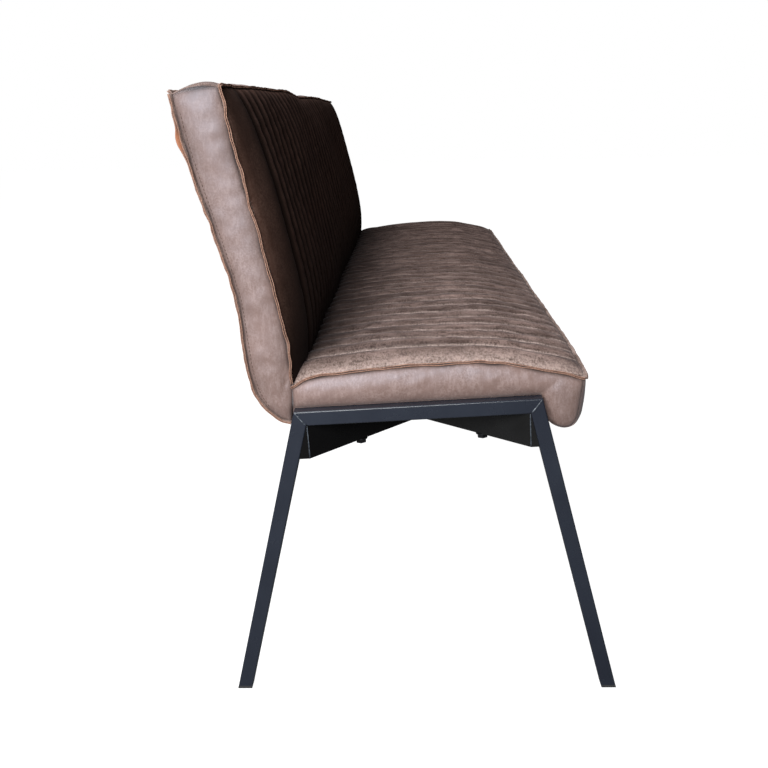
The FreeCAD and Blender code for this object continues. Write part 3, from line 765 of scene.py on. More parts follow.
def seat_wear_and_painted_light(x, rows):
    """Shares from 0 to 1 for every point: seam is pale wear by the rows and a painted highlight by the ends;
    the dark share is painted shade in the valleys and in the tuck, and dark wax in streaks across the bench."""
    v = np.linspace(0, 1, SEAT_ROWS)[None, :]
    forward, column, to_end = v * SEAT_RUN, x[:, None], cushion_end - np.abs(x[:, None])
    nearest = puff(x, rows, SEAT_CHANNEL)[1][:, None]
    tuck = TUCK_SHADE * np.exp(-((np.clip(forward - TUCK_START, 0, 1) / TUCK_REACH) ** 1.2))
    tuck = tuck * (1 - 0.9 * bell(to_end, TUCK_OPEN))
    paleness = 1.0 + 0.35 * ripple(column, forward, 0.06, 14)
    # Pale lines worn beside the rows, plus a painted highlight along the ends.
    seam = np.clip(bell(nearest, SEAM_WIDTH) * paleness + END_PAINTED_HIGHLIGHT * bell(to_end, END_WIDTH), 0, 1) * (1 - tuck)
    streaks = STREAK_DARK * np.clip(0.5 + 0.9 * ripple(column * 5, forward, STREAK_LENGTH, 16), 0, 1)
    streaks = streaks * ends_free(column, 0.06)
    # Painted shade in the valleys and in the tuck under the back; the streaks are dark wax.
    dark_wax_and_painted_shade = GROOVE_SHADE * bell(nearest, GROOVE_WIDTH) * seat_hold(v)
    dark_wax_and_painted_shade = 1 - (1 - dark_wax_and_painted_shade * (1 - seam)) * (1 - streaks)
    return {"seam": seam, "dark_wax_and_painted_shade": np.maximum(dark_wax_and_painted_shade, tuck)}


seat_top = grid_piece("seat_top_leather", seat_grid, (0, 0, 1), seat_wear_and_painted_light(seat_x, seat_rows))
dress(thick(seat_top, QUILT), seat_leather, "leather", "seat_quilt", "seat_foam")
print("seat top faces", len(seat_top.data.polygons))

# %% [markdown]
# ## The seat's front and lip
# Below the front seam a plain band drops over the edge and rolls under. A bent box would do for the shape,
# but its upper edge has to follow the swollen front seam of the top. So it is one outline carried along
# the bench, with its upper edge moved onto that seam.

# %% Seat front leather
LIP_ROWS = 64
LIP_RUN = 0.13
LIP_SHARE = 0.72                 # of the outline bulges: the front face and its turn
LIP_BULGE, LIP_HIDE = 0.0100, 0.0025


def seat_front_surface(x, top_edge):
    """The lip outline(w) carried along x, bulged along its normal, its upper edge on the seat top's."""
    curve = curve_through(SEAT_LIP, LIP_ROWS)
    w = np.linspace(0, 1, LIP_ROWS)[None, :]
    onset = np.sin(np.pi / 2 * ends_free(x, 0.025))[:, None]
    waves = np.sin(np.pi * w) * ripple(x[:, None], w * LIP_RUN, 0.16, 21)
    bulge = LIP_BULGE * np.sin(np.pi * np.clip(w / LIP_SHARE, 0, 1)) ** 0.6 * onset
    bulge = bulge + 0.0011 * waves * ends_free(x, 0.02)[:, None]
    bulge = bulge + pucker(w * LIP_RUN, x[:, None], 22) * ends_free(x, 0.01)[:, None]
    normals = outline_normals(curve, (-1.0, -0.6))
    side = in_frame(curve)[None, :, :] + normals[None, :, :] * bulge[:, :, None]
    join = np.clip(1 - w / 0.35, 0, 1)[..., None] ** 2
    return along_bench(x, side + (top_edge - in_frame(curve)[0])[:, None, :] * join)


lip_grid = seat_front_surface(seat_x, seat_grid[:, -1, 1:])
lip_gap = np.broadcast_to(np.linspace(0, LIP_RUN, LIP_ROWS), lip_grid.shape[:2])
lip_wear = {"seam": 0.4 * np.exp(-lip_gap / 0.004)}
seat_front = grid_piece("seat_front_leather", lip_grid, (0, -1, -0.3), lip_wear)
dress(thick(seat_front, LIP_HIDE), leather, "leather", "seat_front_panel")
print("seat front points", lip_grid.shape[:2])

# %% [markdown]
# ## End panels
# The ends are boxed with plain panels that bulge a little between their seams. They could be filled
# outlines, blown up like a balloon, but a filled outline has no even grid for small waves. So each is ruled
# from one seam to the next, its two short edges are bent to the outlines that they meet, and it is pushed
# out by a pillow that dies away at every edge. The seat's panel stays flat where the steel rail lies
# against it.

# %% Finding the steel beside the panels
def corner(node, direction):
    """The vertex of a frame node that lies furthest in a direction."""
    mesh = nodes[node].data
    points = np.empty(len(mesh.vertices) * 3)
    mesh.vertices.foreach_get("co", points)
    world = np.array(nodes[node].matrix_world)
    points = points.reshape(-1, 3) @ world[:3, :3].T + world[:3, 3]
    return points[np.argmax(points @ np.asarray(direction, float))]


def clear_of_steel(y, z):
    """How far a point of the end lies over the end rail or ahead of the front leg, whichever is more."""
    front, rear = corner("left_top_rail", (0, -0.3, 1)), corner("left_top_rail", (0, 0.3, 1))
    top, foot = corner("left_front_leg", (0, -1, 1)), corner("left_front_leg", (0, -1, -1))
    above = z - np.interp(y, [front[1], rear[1]], [front[2], rear[2]])
    ahead = np.interp(z, [foot[2], top[2]], [foot[1], top[1]]) - y
    return np.maximum(above, ahead)


print("rail corner", corner("left_top_rail", (0, -0.3, 1)).round(4))

# %% Flat panels between their seams
PANEL_STEPS = (150, 56)
EDGE_BLEND = 7                   # how fast a bent short edge gives way to the ruled surface
TOP_CROWN = 0.0042


def panel_grid(edge_a, edge_b, first, last):
    """Points ruled from edge_a to edge_b, with offsets first(t) and last(t) at the short edges."""
    nu, nv = PANEL_STEPS
    a, b = in_frame(curve_through(edge_a, nu)), in_frame(curve_through(edge_b, nu))
    s, t = np.linspace(0, 1, nu)[:, None, None], np.linspace(0, 1, nv)[None, :, None]
    bend = first(t[0, :, 0])[None] * (1 - s) ** EDGE_BLEND + last(t[0, :, 0])[None] * s ** EDGE_BLEND
    return a[:, None, :] * (1 - t) + b[:, None, :] * t + bend


def panel_gaps(plane):
    """Distances from each point to the nearer long edge and the nearer short edge, and along the panel."""
    across = np.linalg.norm(np.diff(plane, axis=1), axis=2)
    along = np.linalg.norm(np.diff(plane, axis=0), axis=2)
    right = np.concatenate([np.zeros((len(plane), 1)), np.cumsum(across, axis=1)], axis=1)
    ahead = np.concatenate([np.zeros((1, plane.shape[1])), np.cumsum(along, axis=0)], axis=0)
    return np.minimum(right, right[:, -1:] - right), np.minimum(ahead, ahead[-1:] - ahead), ahead


def straight_edge(t):
    """A short edge that isn't bent."""
    return np.zeros((len(t), 2))


def lip_edge(t):
    """How far the lip's front face stands off the straight line between its ends."""
    face = evenly(curve_through(SEAT_LIP[:LIP_TURN + 1], 80), len(t))
    return face - (face[0] * (1 - t[:, None]) + face[-1] * t[:, None])


def crowned_edge(t):
    """A short edge bowed up by a half sine, as the top band is."""
    return np.stack([0 * t, TOP_CROWN * np.sin(np.pi * t)], axis=1)


seat_plane = panel_grid(SEAT_SEAM, SEAT_UNDER, straight_edge, lip_edge)
back_plane = panel_grid(BACK_FRONT, BACK_REAR, straight_edge, crowned_edge)
print("end panel points", seat_plane.shape[:2], back_plane.shape[:2])

# %% Panels at the ends of the seat and the back
SEAT_BULGE, BACK_BULGE = 0.0118, 0.0085
PANEL_SOFT = 0.030               # from a seam to where the panel is level
SEAT_SHADE, BACK_SHADE = 0.03, 0.24   # painted shade in a wide band along the seams
HEEL_DIMPLE = (0.1808, 0.455, 0.0032)   # y, z and depth of the dent where back and seat meet


def lip_painted_shade(y, z):
    """Painted shade low on the seat's front corner: a ramp forward times a ramp down."""
    return 0.18 * ramp(-y, 0.158, 0.025) * ramp(-z, -0.470, 0.030)


def high_painted_shade(y, z):
    """Painted shade towards the top of the back's end."""
    return 0.17 * ramp(z, 0.54, 0.24)


def end_panel(name, plane, side, bulge, seed, shade, painted_shade, by_steel=False, dimples=()):
    """The panel in its plane, pushed out by bulge x swell(gap / PANEL_SOFT), with waves, puckers and dimples.

    Its attribute is painted shade: a narrow hump of the distance to the seams, a painted shadow line beside
    them, and a wide one. shade is the strength of the wide one, and the function of y and z given after it
    adds more painted shade to both.
    """
    y, z = plane[..., 0], plane[..., 1]
    long_gap, short_gap, ahead = panel_gaps(plane)
    gap = np.minimum(long_gap, short_gap)
    push = swell(long_gap / PANEL_SOFT) * swell(short_gap / PANEL_SOFT)
    if by_steel:
        push = push * swell(clear_of_steel(y, z) / PANEL_SOFT)
    out = bulge * push * (1 + 0.07 * ripple(y, z, 0.12, seed))
    out = out + 0.0003 * push * ripple(y, z, 0.024, seed + 1)
    out = out + pucker(gap, ahead, seed + 3) * push
    for dent_y, dent_z, depth in dimples:
        spread = ((y - feet_middle_y - dent_y) / 0.0040) ** 2 + ((z - dent_z) / 0.0065) ** 2
        out = out - depth * np.exp(-spread) * push
    # Painted shade, made a little uneven: a shadow line beside the seams and a wider band of shade, plus what
    # the given function adds.
    uneven = 0.8 + 0.4 * ripple(y, z, 0.05, seed + 2)
    dark_wax_and_painted_shade = (0.62 * bell(gap, 0.0035) + shade * bell(gap, 0.017)) * uneven + painted_shade(y - feet_middle_y, z)
    grid = along_bench(side * (cushion_end - 0.001 + out), plane)
    return grid_piece(name, grid, (side, 0, 0), {"dark_wax_and_painted_shade": np.clip(dark_wax_and_painted_shade, 0, 0.9)}), grid


top_stitches = []                # rows that show on the back's ends, beside the rear seam
for label, side, seed in (("left", -1, 31), ("right", 1, 36)):
    panel, grid = end_panel(f"seat_{label}_end_leather", seat_plane, side, SEAT_BULGE, seed, SEAT_SHADE,
                            lip_painted_shade, by_steel=True)
    dress(thick(panel, HIDE), leather, "leather", f"seat_{label}_panel")
    panel, grid = end_panel(f"back_{label}_end_leather", back_plane, side, BACK_BULGE, seed + 10, BACK_SHADE,
                            high_painted_shade, dimples=[HEEL_DIMPLE])
    top_stitches.append((side, grid[12:-6, -7]))
    dress(thick(panel, HIDE), leather, "leather", f"back_{label}_panel")
print("end panels:", 2 * len(top_stitches))

# %% [markdown]
# ## The back's front
# The same channels stand upright here. It could be the seat's surface stood on end, but its outline leans and
# bows its own way. So the curve is the back's front seam above the seat, and near the seat the swell dies
# away, because the cushion is pinched there.

# %% Shape of the back's front
BACK_BORDER = 0.083
BACK_ROLL = 0.12                 # over which the front rolls back to its ends
BACK_CROWN = 0.027
BACK_ROUND = 0.14                # over which the front rounds off to the top seam
BACK_CHANNEL = 0.0050
BACK_ROWS = 100
BACK_RUN = 0.39                  # from the seat up to the top seam
BACK_START = 2                   # the outline's point where the back meets the seat


def top_sag(x):
    """The loose top edge lifts a little between the ends and dips in the middle, where the hide is pulled."""
    lift = 0.004 * ends_free(x, 0.2) - 0.004 * bell(x, 0.11)
    return lift + ends_free(x, 0.1) * (0.0010 * wander(x, 0.5, 41) + 0.0006 * wander(x, 0.16, 42))


def back_hold(v):
    """How hard the rows hold the hide down: less towards the seat and the top seam."""
    return np.clip(v / 0.1, 0, 1) ** 0.6 * np.clip((1 - v) / 0.05, 0.25, 1)


def back_surface(x, rows):
    """Points of the back's front: seam curve(v) + normal(v) x (border swell + channels + waves)."""
    curve = curve_through(BACK_FRONT[BACK_START:], BACK_ROWS)
    v = np.linspace(0, 1, BACK_ROWS)[None, :]
    column, free, hold = x[:, None], ends_free(x, BACK_ROLL)[:, None], back_hold(v)
    height = puff(x, rows, BACK_CHANNEL)[0]
    full = 0.5 + 0.5 * np.sin(np.pi / 2 * np.clip(v / 0.35, 0, 1))
    full = full * swell((1 - v) * BACK_RUN / BACK_ROUND)
    lift = BACK_CROWN * full * swell(free) + (height[:, None] - BACK_CHANNEL) * hold
    lift = lift + 0.0014 * free * ripple(column, v * BACK_RUN, 0.28, 44)
    lift = lift + 0.0004 * free * hold * ripple(column * 0.5, v * BACK_RUN, 0.03, 45)
    lift = lift + pucker(cushion_end - np.abs(column), v * BACK_RUN, 47)
    lift = lift + 1.5 * pucker((1 - v) * BACK_RUN, column + 0 * v, 48)
    normals = outline_normals(curve, (-1.0, 0.2))
    side = in_frame(curve)[None, :, :] + normals[None, :, :] * lift[:, :, None]
    side[:, :, 1] += top_sag(x)[:, None] * v**3
    sway = 0.0010 * free * ripple(column, v * BACK_RUN, 0.25, 43)
    return along_bench(column + sway, side)


back_x, back_rows = channel_lines(BACK_BORDER)
back_grid = back_surface(back_x, back_rows)
print("back channels", len(back_rows) - 1, "points", back_grid.shape[:2])

# %% [markdown]
# ## Painted shade of the back's front
# The valleys of the back's channels are painted dark as shade and their crests left lighter, and painted
# shade also lies low down by the seat and along the edge of the border. Light and shade alone could show the
# channels from the front. But from the end the back is seen at a very flat angle, so here too the painted
# shade is humps of a distance.

# %% Painted shade of the back's front
BACK_CREST = 0.0100              # half the width of the lighter crest of a channel, outside the painted shade
LOW_REACH, LOW_SHADE = 0.18, 0.95   # painted shade, up from the seat
LINE_PLACE, LINE_WIDTH, LINE_DARK = 0.066, 0.022, 0.50   # painted shade along the inner edge of the border
RIM_WIDTH, RIM_DARK, RIM_DARKER = 0.06, 0.18, 0.42   # painted shade along the ends, more towards the top


def back_painted_shade(x, rows):
    """The painted shade is 1 less a hump of the distance from the crests, and takes in the humps of the low
    part, the border's inner line and its rim; no seam shows pale here."""
    v = np.linspace(0, 1, BACK_ROWS)[None, :]
    nearest, to_end = puff(x, rows, BACK_CHANNEL)[1], cushion_end - np.abs(x[:, None])
    from_crest = np.clip(CHANNEL_PITCH / 2 - nearest, 0, None)
    dark_wax_and_painted_shade = (1 - bell(from_crest, BACK_CREST))[:, None] * (0.5 + 0.5 * back_hold(v))
    dark_wax_and_painted_shade = np.maximum(dark_wax_and_painted_shade, LOW_SHADE * bell(v * BACK_RUN, LOW_REACH))
    rim = (RIM_DARK + RIM_DARKER * ramp(v, 0.45, 0.4)) * bell(to_end, RIM_WIDTH)
    border = LINE_DARK * bell(to_end - LINE_PLACE, LINE_WIDTH) + rim
    dark_wax_and_painted_shade = 1 - (1 - dark_wax_and_painted_shade) * (1 - border)
    return {"seam": 0 * dark_wax_and_painted_shade, "dark_wax_and_painted_shade": dark_wax_and_painted_shade}


back_front = grid_piece("back_front_leather", back_grid, (0, -1, 0), back_painted_shade(back_x, back_rows))
dress(thick(back_front, QUILT), back_leather_painted_shade, "leather", "back_quilt", "back_foam")
print("back front faces", len(back_front.data.polygons))

# %% [markdown]
# ## The back's top and rear
# A narrow band boxes the top, and one plain hide covers the rear and rolls under the heel. A single wrapped
# sheet would lose the seam between them. So both are outlines carried along the bench that share the rear
# seam, with shallow waves where the leather hangs free.

# %% Back top and rear leather
TOP_STEPS = 20
REAR_ROWS = 90
REAR_RUN = 0.46


def rear_seam_line(x):
    """The rear seam along the top."""
    tip = in_frame(BACK_REAR[-1])
    y = tip[0] + 0.003 * ends_free(x, 0.15)
    z = tip[1] + 0.8 * top_sag(x) + 0.0008 * ends_free(x, 0.1) * wander(x, 0.3, 51)
    return np.stack([y, z], axis=1)


def top_band(x, front_edge):
    """A band from the front seam to the rear seam, bowed up by a half sine."""
    t = np.linspace(0, 1, TOP_STEPS)[None, :]
    side = front_edge[:, None, :] * (1 - t[..., None]) + rear_seam_line(x)[:, None, :] * t[..., None]
    rise = TOP_CROWN + 0.006 * swell(ends_free(x, 0.05))[:, None]
    rise = rise + 0.0008 * ends_free(x, 0.03)[:, None] * ripple(x[:, None], t * 0.06, 0.09, 52)
    side[:, :, 1] += np.sin(np.pi * t) * rise
    return along_bench(x, side)


def rear_surface(x):
    """The rear outline(v) carried along x, swollen along its normal, its upper edge on the rear seam."""
    curve = curve_through(BACK_REAR, REAR_ROWS)
    v = np.linspace(0, 1, REAR_ROWS)[None, :]
    free = swell(ends_free(x, 0.06))[:, None] * np.sin(np.pi * v)
    lift = free * (0.006 + 0.0018 * ripple(x[:, None], v * REAR_RUN, 0.35, 53)
                   + 0.0004 * ripple(x[:, None], v * REAR_RUN, 0.06, 54))
    lift = lift + pucker(cushion_end - np.abs(x[:, None]), v * REAR_RUN, 55)
    normals = outline_normals(curve, (1.0, -0.4))
    side = in_frame(curve)[None, :, :] + normals[None, :, :] * lift[:, :, None]
    side = side + (rear_seam_line(x) - in_frame(BACK_REAR[-1]))[:, None, :] * v[..., None] ** 6
    return along_bench(x, side)


even_x = np.linspace(-cushion_end, cushion_end, 300)
plain_x = np.unique(np.concatenate([even_x, back_x[:12], back_x[-12:]]))
front_top_edge = np.stack([np.interp(plain_x, back_x, back_grid[:, -1, k]) for k in (1, 2)], axis=1)
top_grid = top_band(plain_x, front_top_edge)
rear_grid = rear_surface(plain_x)
for name, grid, outward, hide in (("back_top_leather", top_grid, (0, 0, 1), seat_leather),
                                  ("back_rear_leather", rear_grid, (0, 1, 0), leather)):
    piece = grid_piece(name, grid, outward, {"seam": np.full(grid.shape[:2], 0.05)})
    dress(thick(piece, HIDE), hide, "leather", "back_rear_panel", "back_board")
    print(name, grid.shape[:2])

# %% [markdown]
# ## Raw edges
# At every outer seam the two hides are sewn face to face with their cut edges left standing. A round cord
# would look like piping. So a seam is two thin strips side by side that wander together and part a little:
# each is a small flat section carried along the seam. The edge attribute is 1 at its cut side and turns
# the colour to rust.

# %% A strip of raw edge
EDGE_WIDTH = 0.0056              # standing out of the seam
EDGE_ROOT = 0.0035               # sunk into the seam
EDGE_LAYER = 0.0013              # thickness of one layer
EDGE_PART = 0.0009               # from the seam's middle to a layer's middle
SECTION = np.array([(0, -0.5), (0.55, -0.5), (0.93, -0.46), (1, -0.36),
                    (1, 0.36), (0.93, 0.46), (0.55, 0.5), (0, 0.5)])
SECTION_EDGE = np.array([0, 0, 0.45, 1, 1, 0.45, 0, 0])


def seam_frame(path, out):
    """Directions along a seam, out of it and across it, and the distance along it."""
    along = unit(np.gradient(path, axis=0))
    out = unit(out - along * (out * along).sum(axis=1, keepdims=True))
    length = np.concatenate([[0.0], np.cumsum(np.linalg.norm(np.diff(path, axis=0), axis=1))])
    return along, out, np.cross(along, out), length


def layer(name, path, out, part, seed, flare, width, ragged, rust):
    """One layer: section(a, b) at path + out x width x a + across x (part + thickness x b + bend x a)."""
    along, out, across, length = seam_frame(path, out)
    rough = 0.12 * wander(length, 0.05, seed) + 0.05 * wander(length, 0.011, seed + 5 + (part > 0))
    width = width * (1 + ragged * rough)
    bend = ragged * (0.0009 * wander(length, 0.075, seed + 2) + 0.0006 * wander(length, 0.028, seed + 3))
    bend = bend + part * (0.15 + 0.25 * wander(length, 0.05, seed + 4))
    a, b = SECTION[:, 0], SECTION[:, 1]
    reach = -EDGE_ROOT + (width[:, None] + EDGE_ROOT) * a
    offset = part + b * EDGE_LAYER + bend[:, None] * a
    grid = path[:, None, :] + out[:, None, :] * reach[..., None] + across[:, None, :] * offset[..., None]
    grid[:, :, 1] += flare[:, None] * a**2
    reverse = np.clip(flare / 0.003, 0, 1)[:, None] * (a > 0.3)
    edge = np.broadcast_to(rust * SECTION_EDGE, grid.shape[:2])
    return tube_piece(name, grid, {"edge": edge, "reverse": reverse})


print("raw edge section:", len(SECTION), "points,", EDGE_WIDTH * 1000, "mm wide")

# %% Raw edges along every seam
END_STEPS, LONG_STEPS = 240, 560
CURL_HEIGHT, CURL_SPAN, CURL = 0.768, 0.015, 0.0036   # where the rear layer curls and shows its reverse
STITCH_RISE = 0.0012             # of the stitches over the foot of the strips
long_x = np.linspace(-cushion_end, cushion_end, LONG_STEPS)
seam_paths = []


def raw_seam(name, path, out, seed, flare=None, width=EDGE_WIDTH, ragged=1.0, rust=1.0):
    """The two layers of a raw seam, and the stitches that hold them; flare bends the rear layer away."""
    none = np.zeros(len(path))
    along, turned, across, length = seam_frame(path, out)
    rear = 1 if across[:, 1].mean() > 0 else -1
    for word, sign in (("front", -rear), ("rear", rear)):
        bent = flare if flare is not None and sign == rear else none
        piece = layer(f"{name}_{word}_edge", path, out, sign * EDGE_PART, seed, bent, width, ragged, rust)
        dress(piece, raw_edge, "leather")
    seam_paths.append((path + turned * STITCH_RISE, across, EDGE_PART + EDGE_LAYER / 2))


def end_path(outline, side, count):
    """A seam at one end of a cushion, as points in space."""
    curve = in_frame(curve_through(outline, count))
    return np.concatenate([np.full((count, 1), side * cushion_end), curve], axis=1)


def fixed(direction, count):
    """One direction, once for each point."""
    return np.broadcast_to(np.asarray(direction, float), (count, 3)).copy()


def long_path(x, grid):
    """The last row of a surface, which is a seam along the bench, at even steps."""
    return np.stack([long_x] + [np.interp(long_x, x, grid[:, -1, k]) for k in (1, 2)], axis=1)


for label, side, seed in (("left", -1, 61), ("right", 1, 81)):
    raw_seam(f"seat_{label}_seam", end_path(SEAT_SEAM, side, END_STEPS),
             fixed((side, 0, 0.3), END_STEPS), seed, ragged=0.7)
    raw_seam(f"back_{label}_front_seam", end_path(BACK_FRONT[BACK_START:], side, END_STEPS),
             fixed((side, -0.25, 0.1), END_STEPS), seed + 6)
    path = end_path(BACK_REAR, side, END_STEPS)
    normals = outline_normals(curve_through(BACK_REAR, END_STEPS), (1.0, -0.4))
    lean = 0.3 + 0.6 * ramp(np.arange(END_STEPS) / END_STEPS, 0.9, 0.1)[:, None]
    out = np.concatenate([np.full((END_STEPS, 1), side), normals * lean], axis=1)
    curl = (CURL if label == "left" else 0.0) * bell(path[:, 2] - CURL_HEIGHT, CURL_SPAN)
    raw_seam(f"back_{label}_rear_seam", path, out, seed + 12, curl)
raw_seam("seat_front_seam", long_path(seat_x, seat_grid), fixed((0, -0.87, 0.49), LONG_STEPS), 101,
         width=0.0044, ragged=0.4, rust=0.25)
raw_seam("back_top_front_seam", long_path(back_x, back_grid), fixed((0, -0.9, 0.42), LONG_STEPS), 111,
         width=0.0048, ragged=0.35)
raw_seam("back_top_rear_seam", long_path(plain_x, rear_grid), fixed((0, 0.6, 0.75), LONG_STEPS), 121,
         ragged=0.6)
print("raw seams:", len(seam_paths))

# %% [markdown]
# ## Stitches
# A stitch is a short length of waxed thread between two needle holes. An array of objects along a curve could
# make the rows, but there are thousands of stitches, so each is a spindle with a few faces, and one function
# lays whole rows of them along any line as one array of points.

# %% One stitch, and rows of them
STITCH_PITCH, STITCH_LENGTH, STITCH_RADIUS = 0.0052, 0.0038, 0.00045
SPINDLE_SIDES = 5


def spindle():
    """Points of one stitch, tip to tip along the first axis, and its faces."""
    turn = 2 * np.pi * np.arange(SPINDLE_SIDES) / SPINDLE_SIDES
    ring = np.stack([0 * turn, np.cos(turn), np.sin(turn)], axis=1)
    points = np.concatenate([[(-0.5, 0, 0)], ring + (-0.3, 0, 0), ring + (0.3, 0, 0), [(0.5, 0, 0)]])
    last = 2 * SPINDLE_SIDES + 1
    faces = []
    for k in range(SPINDLE_SIDES):
        a, b = 1 + k, 1 + (k + 1) % SPINDLE_SIDES
        c, d = a + SPINDLE_SIDES, b + SPINDLE_SIDES
        faces += [(0, b, a, a), (a, b, d, c), (c, d, last, last)]
    return points, np.array(faces)


def stitch_row(path, up):
    """Frames of the stitches along a path: middle, along, up and across, one per row."""
    steps = np.linalg.norm(np.diff(path, axis=0), axis=1)
    length = np.concatenate([[0.0], np.cumsum(steps)])
    want = np.arange(STITCH_PITCH, length[-1] - STITCH_PITCH, STITCH_PITCH)
    middle = np.stack([np.interp(want, length, path[:, k]) for k in range(3)], axis=1)
    upward = unit(np.stack([np.interp(want, length, up[:, k]) for k in range(3)], axis=1))
    slope = np.gradient(path, length, axis=0)
    along = unit(np.stack([np.interp(want, length, slope[:, k]) for k in range(3)], axis=1))
    return middle, along, upward, np.cross(along, upward)


def stitches(name, rows):
    """One piece with every stitch of the given rows."""
    middle, along, up, across = (np.concatenate(part) for part in zip(*rows))
    points, faces = spindle()
    size = np.array([STITCH_LENGTH, STITCH_RADIUS, STITCH_RADIUS])
    p = points * size
    every = (middle[:, None, :] + along[:, None, :] * p[None, :, 0:1] + up[:, None, :] * p[None, :, 1:2]
             + across[:, None, :] * p[None, :, 2:3])
    index = faces[None] + (np.arange(len(middle)) * len(points))[:, None, None]
    quads = [tuple(dict.fromkeys(face)) for face in index.reshape(-1, 4).tolist()]
    piece = mesh_piece(name, every.reshape(-1, 3), quads)
    dress(piece, thread, "leather")
    print(name, len(middle))


print("faces of a stitch:", len(spindle()[1]))


# %% Stitches along the seams and in the channels
def channel_rows(grid, x, rows, up):
    """Stitch rows in the valleys of a channelled surface."""
    found = []
    for row in rows:
        path = grid[np.argmin(np.abs(x - row)), 2:-2]
        found.append(stitch_row(path + 0.0001 * np.asarray(up), fixed(up, len(path))))
    return found


stitches("seat_channel_stitches", channel_rows(seat_grid, seat_x, seat_rows, (0, 0, 1)))
stitches("back_channel_stitches", channel_rows(back_grid, back_x, back_rows, (0, -1, 0)))
stitches("seam_stitches", [stitch_row(path + sign * across * gap, sign * across)
                           for path, across, gap in seam_paths for sign in (-1, 1)])
stitches("back_end_stitches", [stitch_row(path + (0.0002 * side, 0, 0), fixed((side, 0, 0), len(path)))
                               for side, path in top_stitches])

# %% [markdown]
# ## Welds
# The frame's tubes meet in mitres that are welded and coated over, so each joint shows a thin ripple-backed
# bead. A line of bump on the tube would not stand out at the edges. So it is a thin round strip whose radius
# ripples drop by drop, and its ends are found from the corners of the tubes themselves.

# %% Weld beads
BEAD_RADIUS, BEAD_PITCH, BEAD_SIDES = 0.0010, 0.0022, 9
THIN_BEAD = 0.0007               # radius of the beads at the braces and inside the legs
LEG_WELD = 0.048                 # length of the bead inside a leg


def bead(name, start, end, radius=BEAD_RADIUS):
    """A round bead from start to end: radius x (1 + small waves of one drop's length), closed at its ends."""
    start, end = np.asarray(start, float), np.asarray(end, float)
    length = np.linalg.norm(end - start)
    s = np.linspace(0, length, max(int(length / (BEAD_PITCH / 6)), 8))
    along = (end - start) / length
    one = unit(np.cross(along, (0.3, 0.5, 0.8)))
    two = np.cross(along, one)
    drops = np.abs(np.sin(np.pi * s / BEAD_PITCH))
    r = radius * (1 + 0.16 * drops + 0.22 * wander(s, 0.008, int(1e5 * length)))
    r = r * np.sqrt(np.clip(1 - (2 * s / length - 1) ** 10, 0.15, 1))
    turn = 2 * np.pi * np.arange(BEAD_SIDES) / BEAD_SIDES
    ring = np.cos(turn)[:, None] * one + np.sin(turn)[:, None] * two
    grid = (start + s[:, None] * along)[:, None, :] + r[:, None, None] * ring[None]
    beads.append(dress(tube_piece(name, grid), weld, "frame_steel"))


beads = []
for label, side in (("left", -1), ("right", 1)):
    rail = f"{label}_top_rail"
    for end, way in (("front", -1), ("rear", 1)):
        for face, out in (("outer", side), ("inner", -side)):
            upper = corner(rail, (100 * out, way, 0.7))
            lower = corner(rail, (100 * out, 0.3 * way, -1))
            bead(f"{label}_{end}_{face}_mitre_weld", upper, lower)
        brace = f"{label}_{end}_brace"
        upper, lower = corner(brace, (side, way, 3)), corner(brace, (side, way, -3))
        under = corner(rail, (-100 * side, 0.3 * way, -1))
        share = np.clip((under[2] - 0.002 - lower[2]) / (upper[2] - lower[2]), 0, 1)
        bead(f"{label}_{end}_brace_weld", lower + (upper - lower) * share, lower, THIN_BEAD)
        leg = f"{label}_{end}_leg"
        down = unit(corner(leg, (-100 * side, -way, -3)) - corner(leg, (-100 * side, -way, 3)))
        bead(f"{label}_{end}_leg_weld", under, under + down * LEG_WELD, THIN_BEAD)
print("weld beads:", len(beads))

# %% [markdown]
# ## Dust cloth
# Under the seat a thin lining cloth is stapled over the board. It could be hung as simulated cloth, but
# stretched as it is, it sags only a few millimetres. So it is a plane that a product of two
# parabolas pulls down in the middle.

# %% Lining cloth
CLOTH_SAG, CLOTH_THICK = 0.003, 0.0006


def lining_points(u, w):
    """The lining's plane: u runs along the bench and w from front to rear, both from 0 to 1."""
    low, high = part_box("seat_dust_cloth")
    front = corner("seat_dust_cloth", (0, -1, -0.2))
    rear = corner("seat_dust_cloth", (0, 1, -0.2))
    x = low[0] + (high[0] - low[0]) * u
    y = front[1] + (rear[1] - front[1]) * w
    return np.stack([x, y, front[2] + (rear[2] - front[2]) * w], axis=-1)


u, w = np.meshgrid(np.linspace(0, 1, 160), np.linspace(0, 1, 44), indexing="ij")
lining = lining_points(u, w)
sag = CLOTH_SAG * (16 * u * (1 - u) * w * (1 - w)) ** 0.6
lining[..., 2] -= sag * (0.8 + 0.3 * ripple(u * 1.5, w * 0.35, 0.2, 141))
dust_cloth = grid_piece("seat_lining_cloth", lining, (0, 0, -1))
dress(thick(dust_cloth, CLOTH_THICK), cloth, "dust_cloth", "seat_dust_cloth")

# %% [markdown]
# ## Staples
# Wire staples hold the lining round its edge. Their legs could be modelled too, but they are sunk in the
# board and only the crown shows. So each is a bar of eight points, and all are one array, turned this way
# and that as a staple gun leaves them.

# %% Staples
STAPLE_PITCH, STAPLE_LENGTH, STAPLE_WIDE = 0.06, 0.010, 0.0012


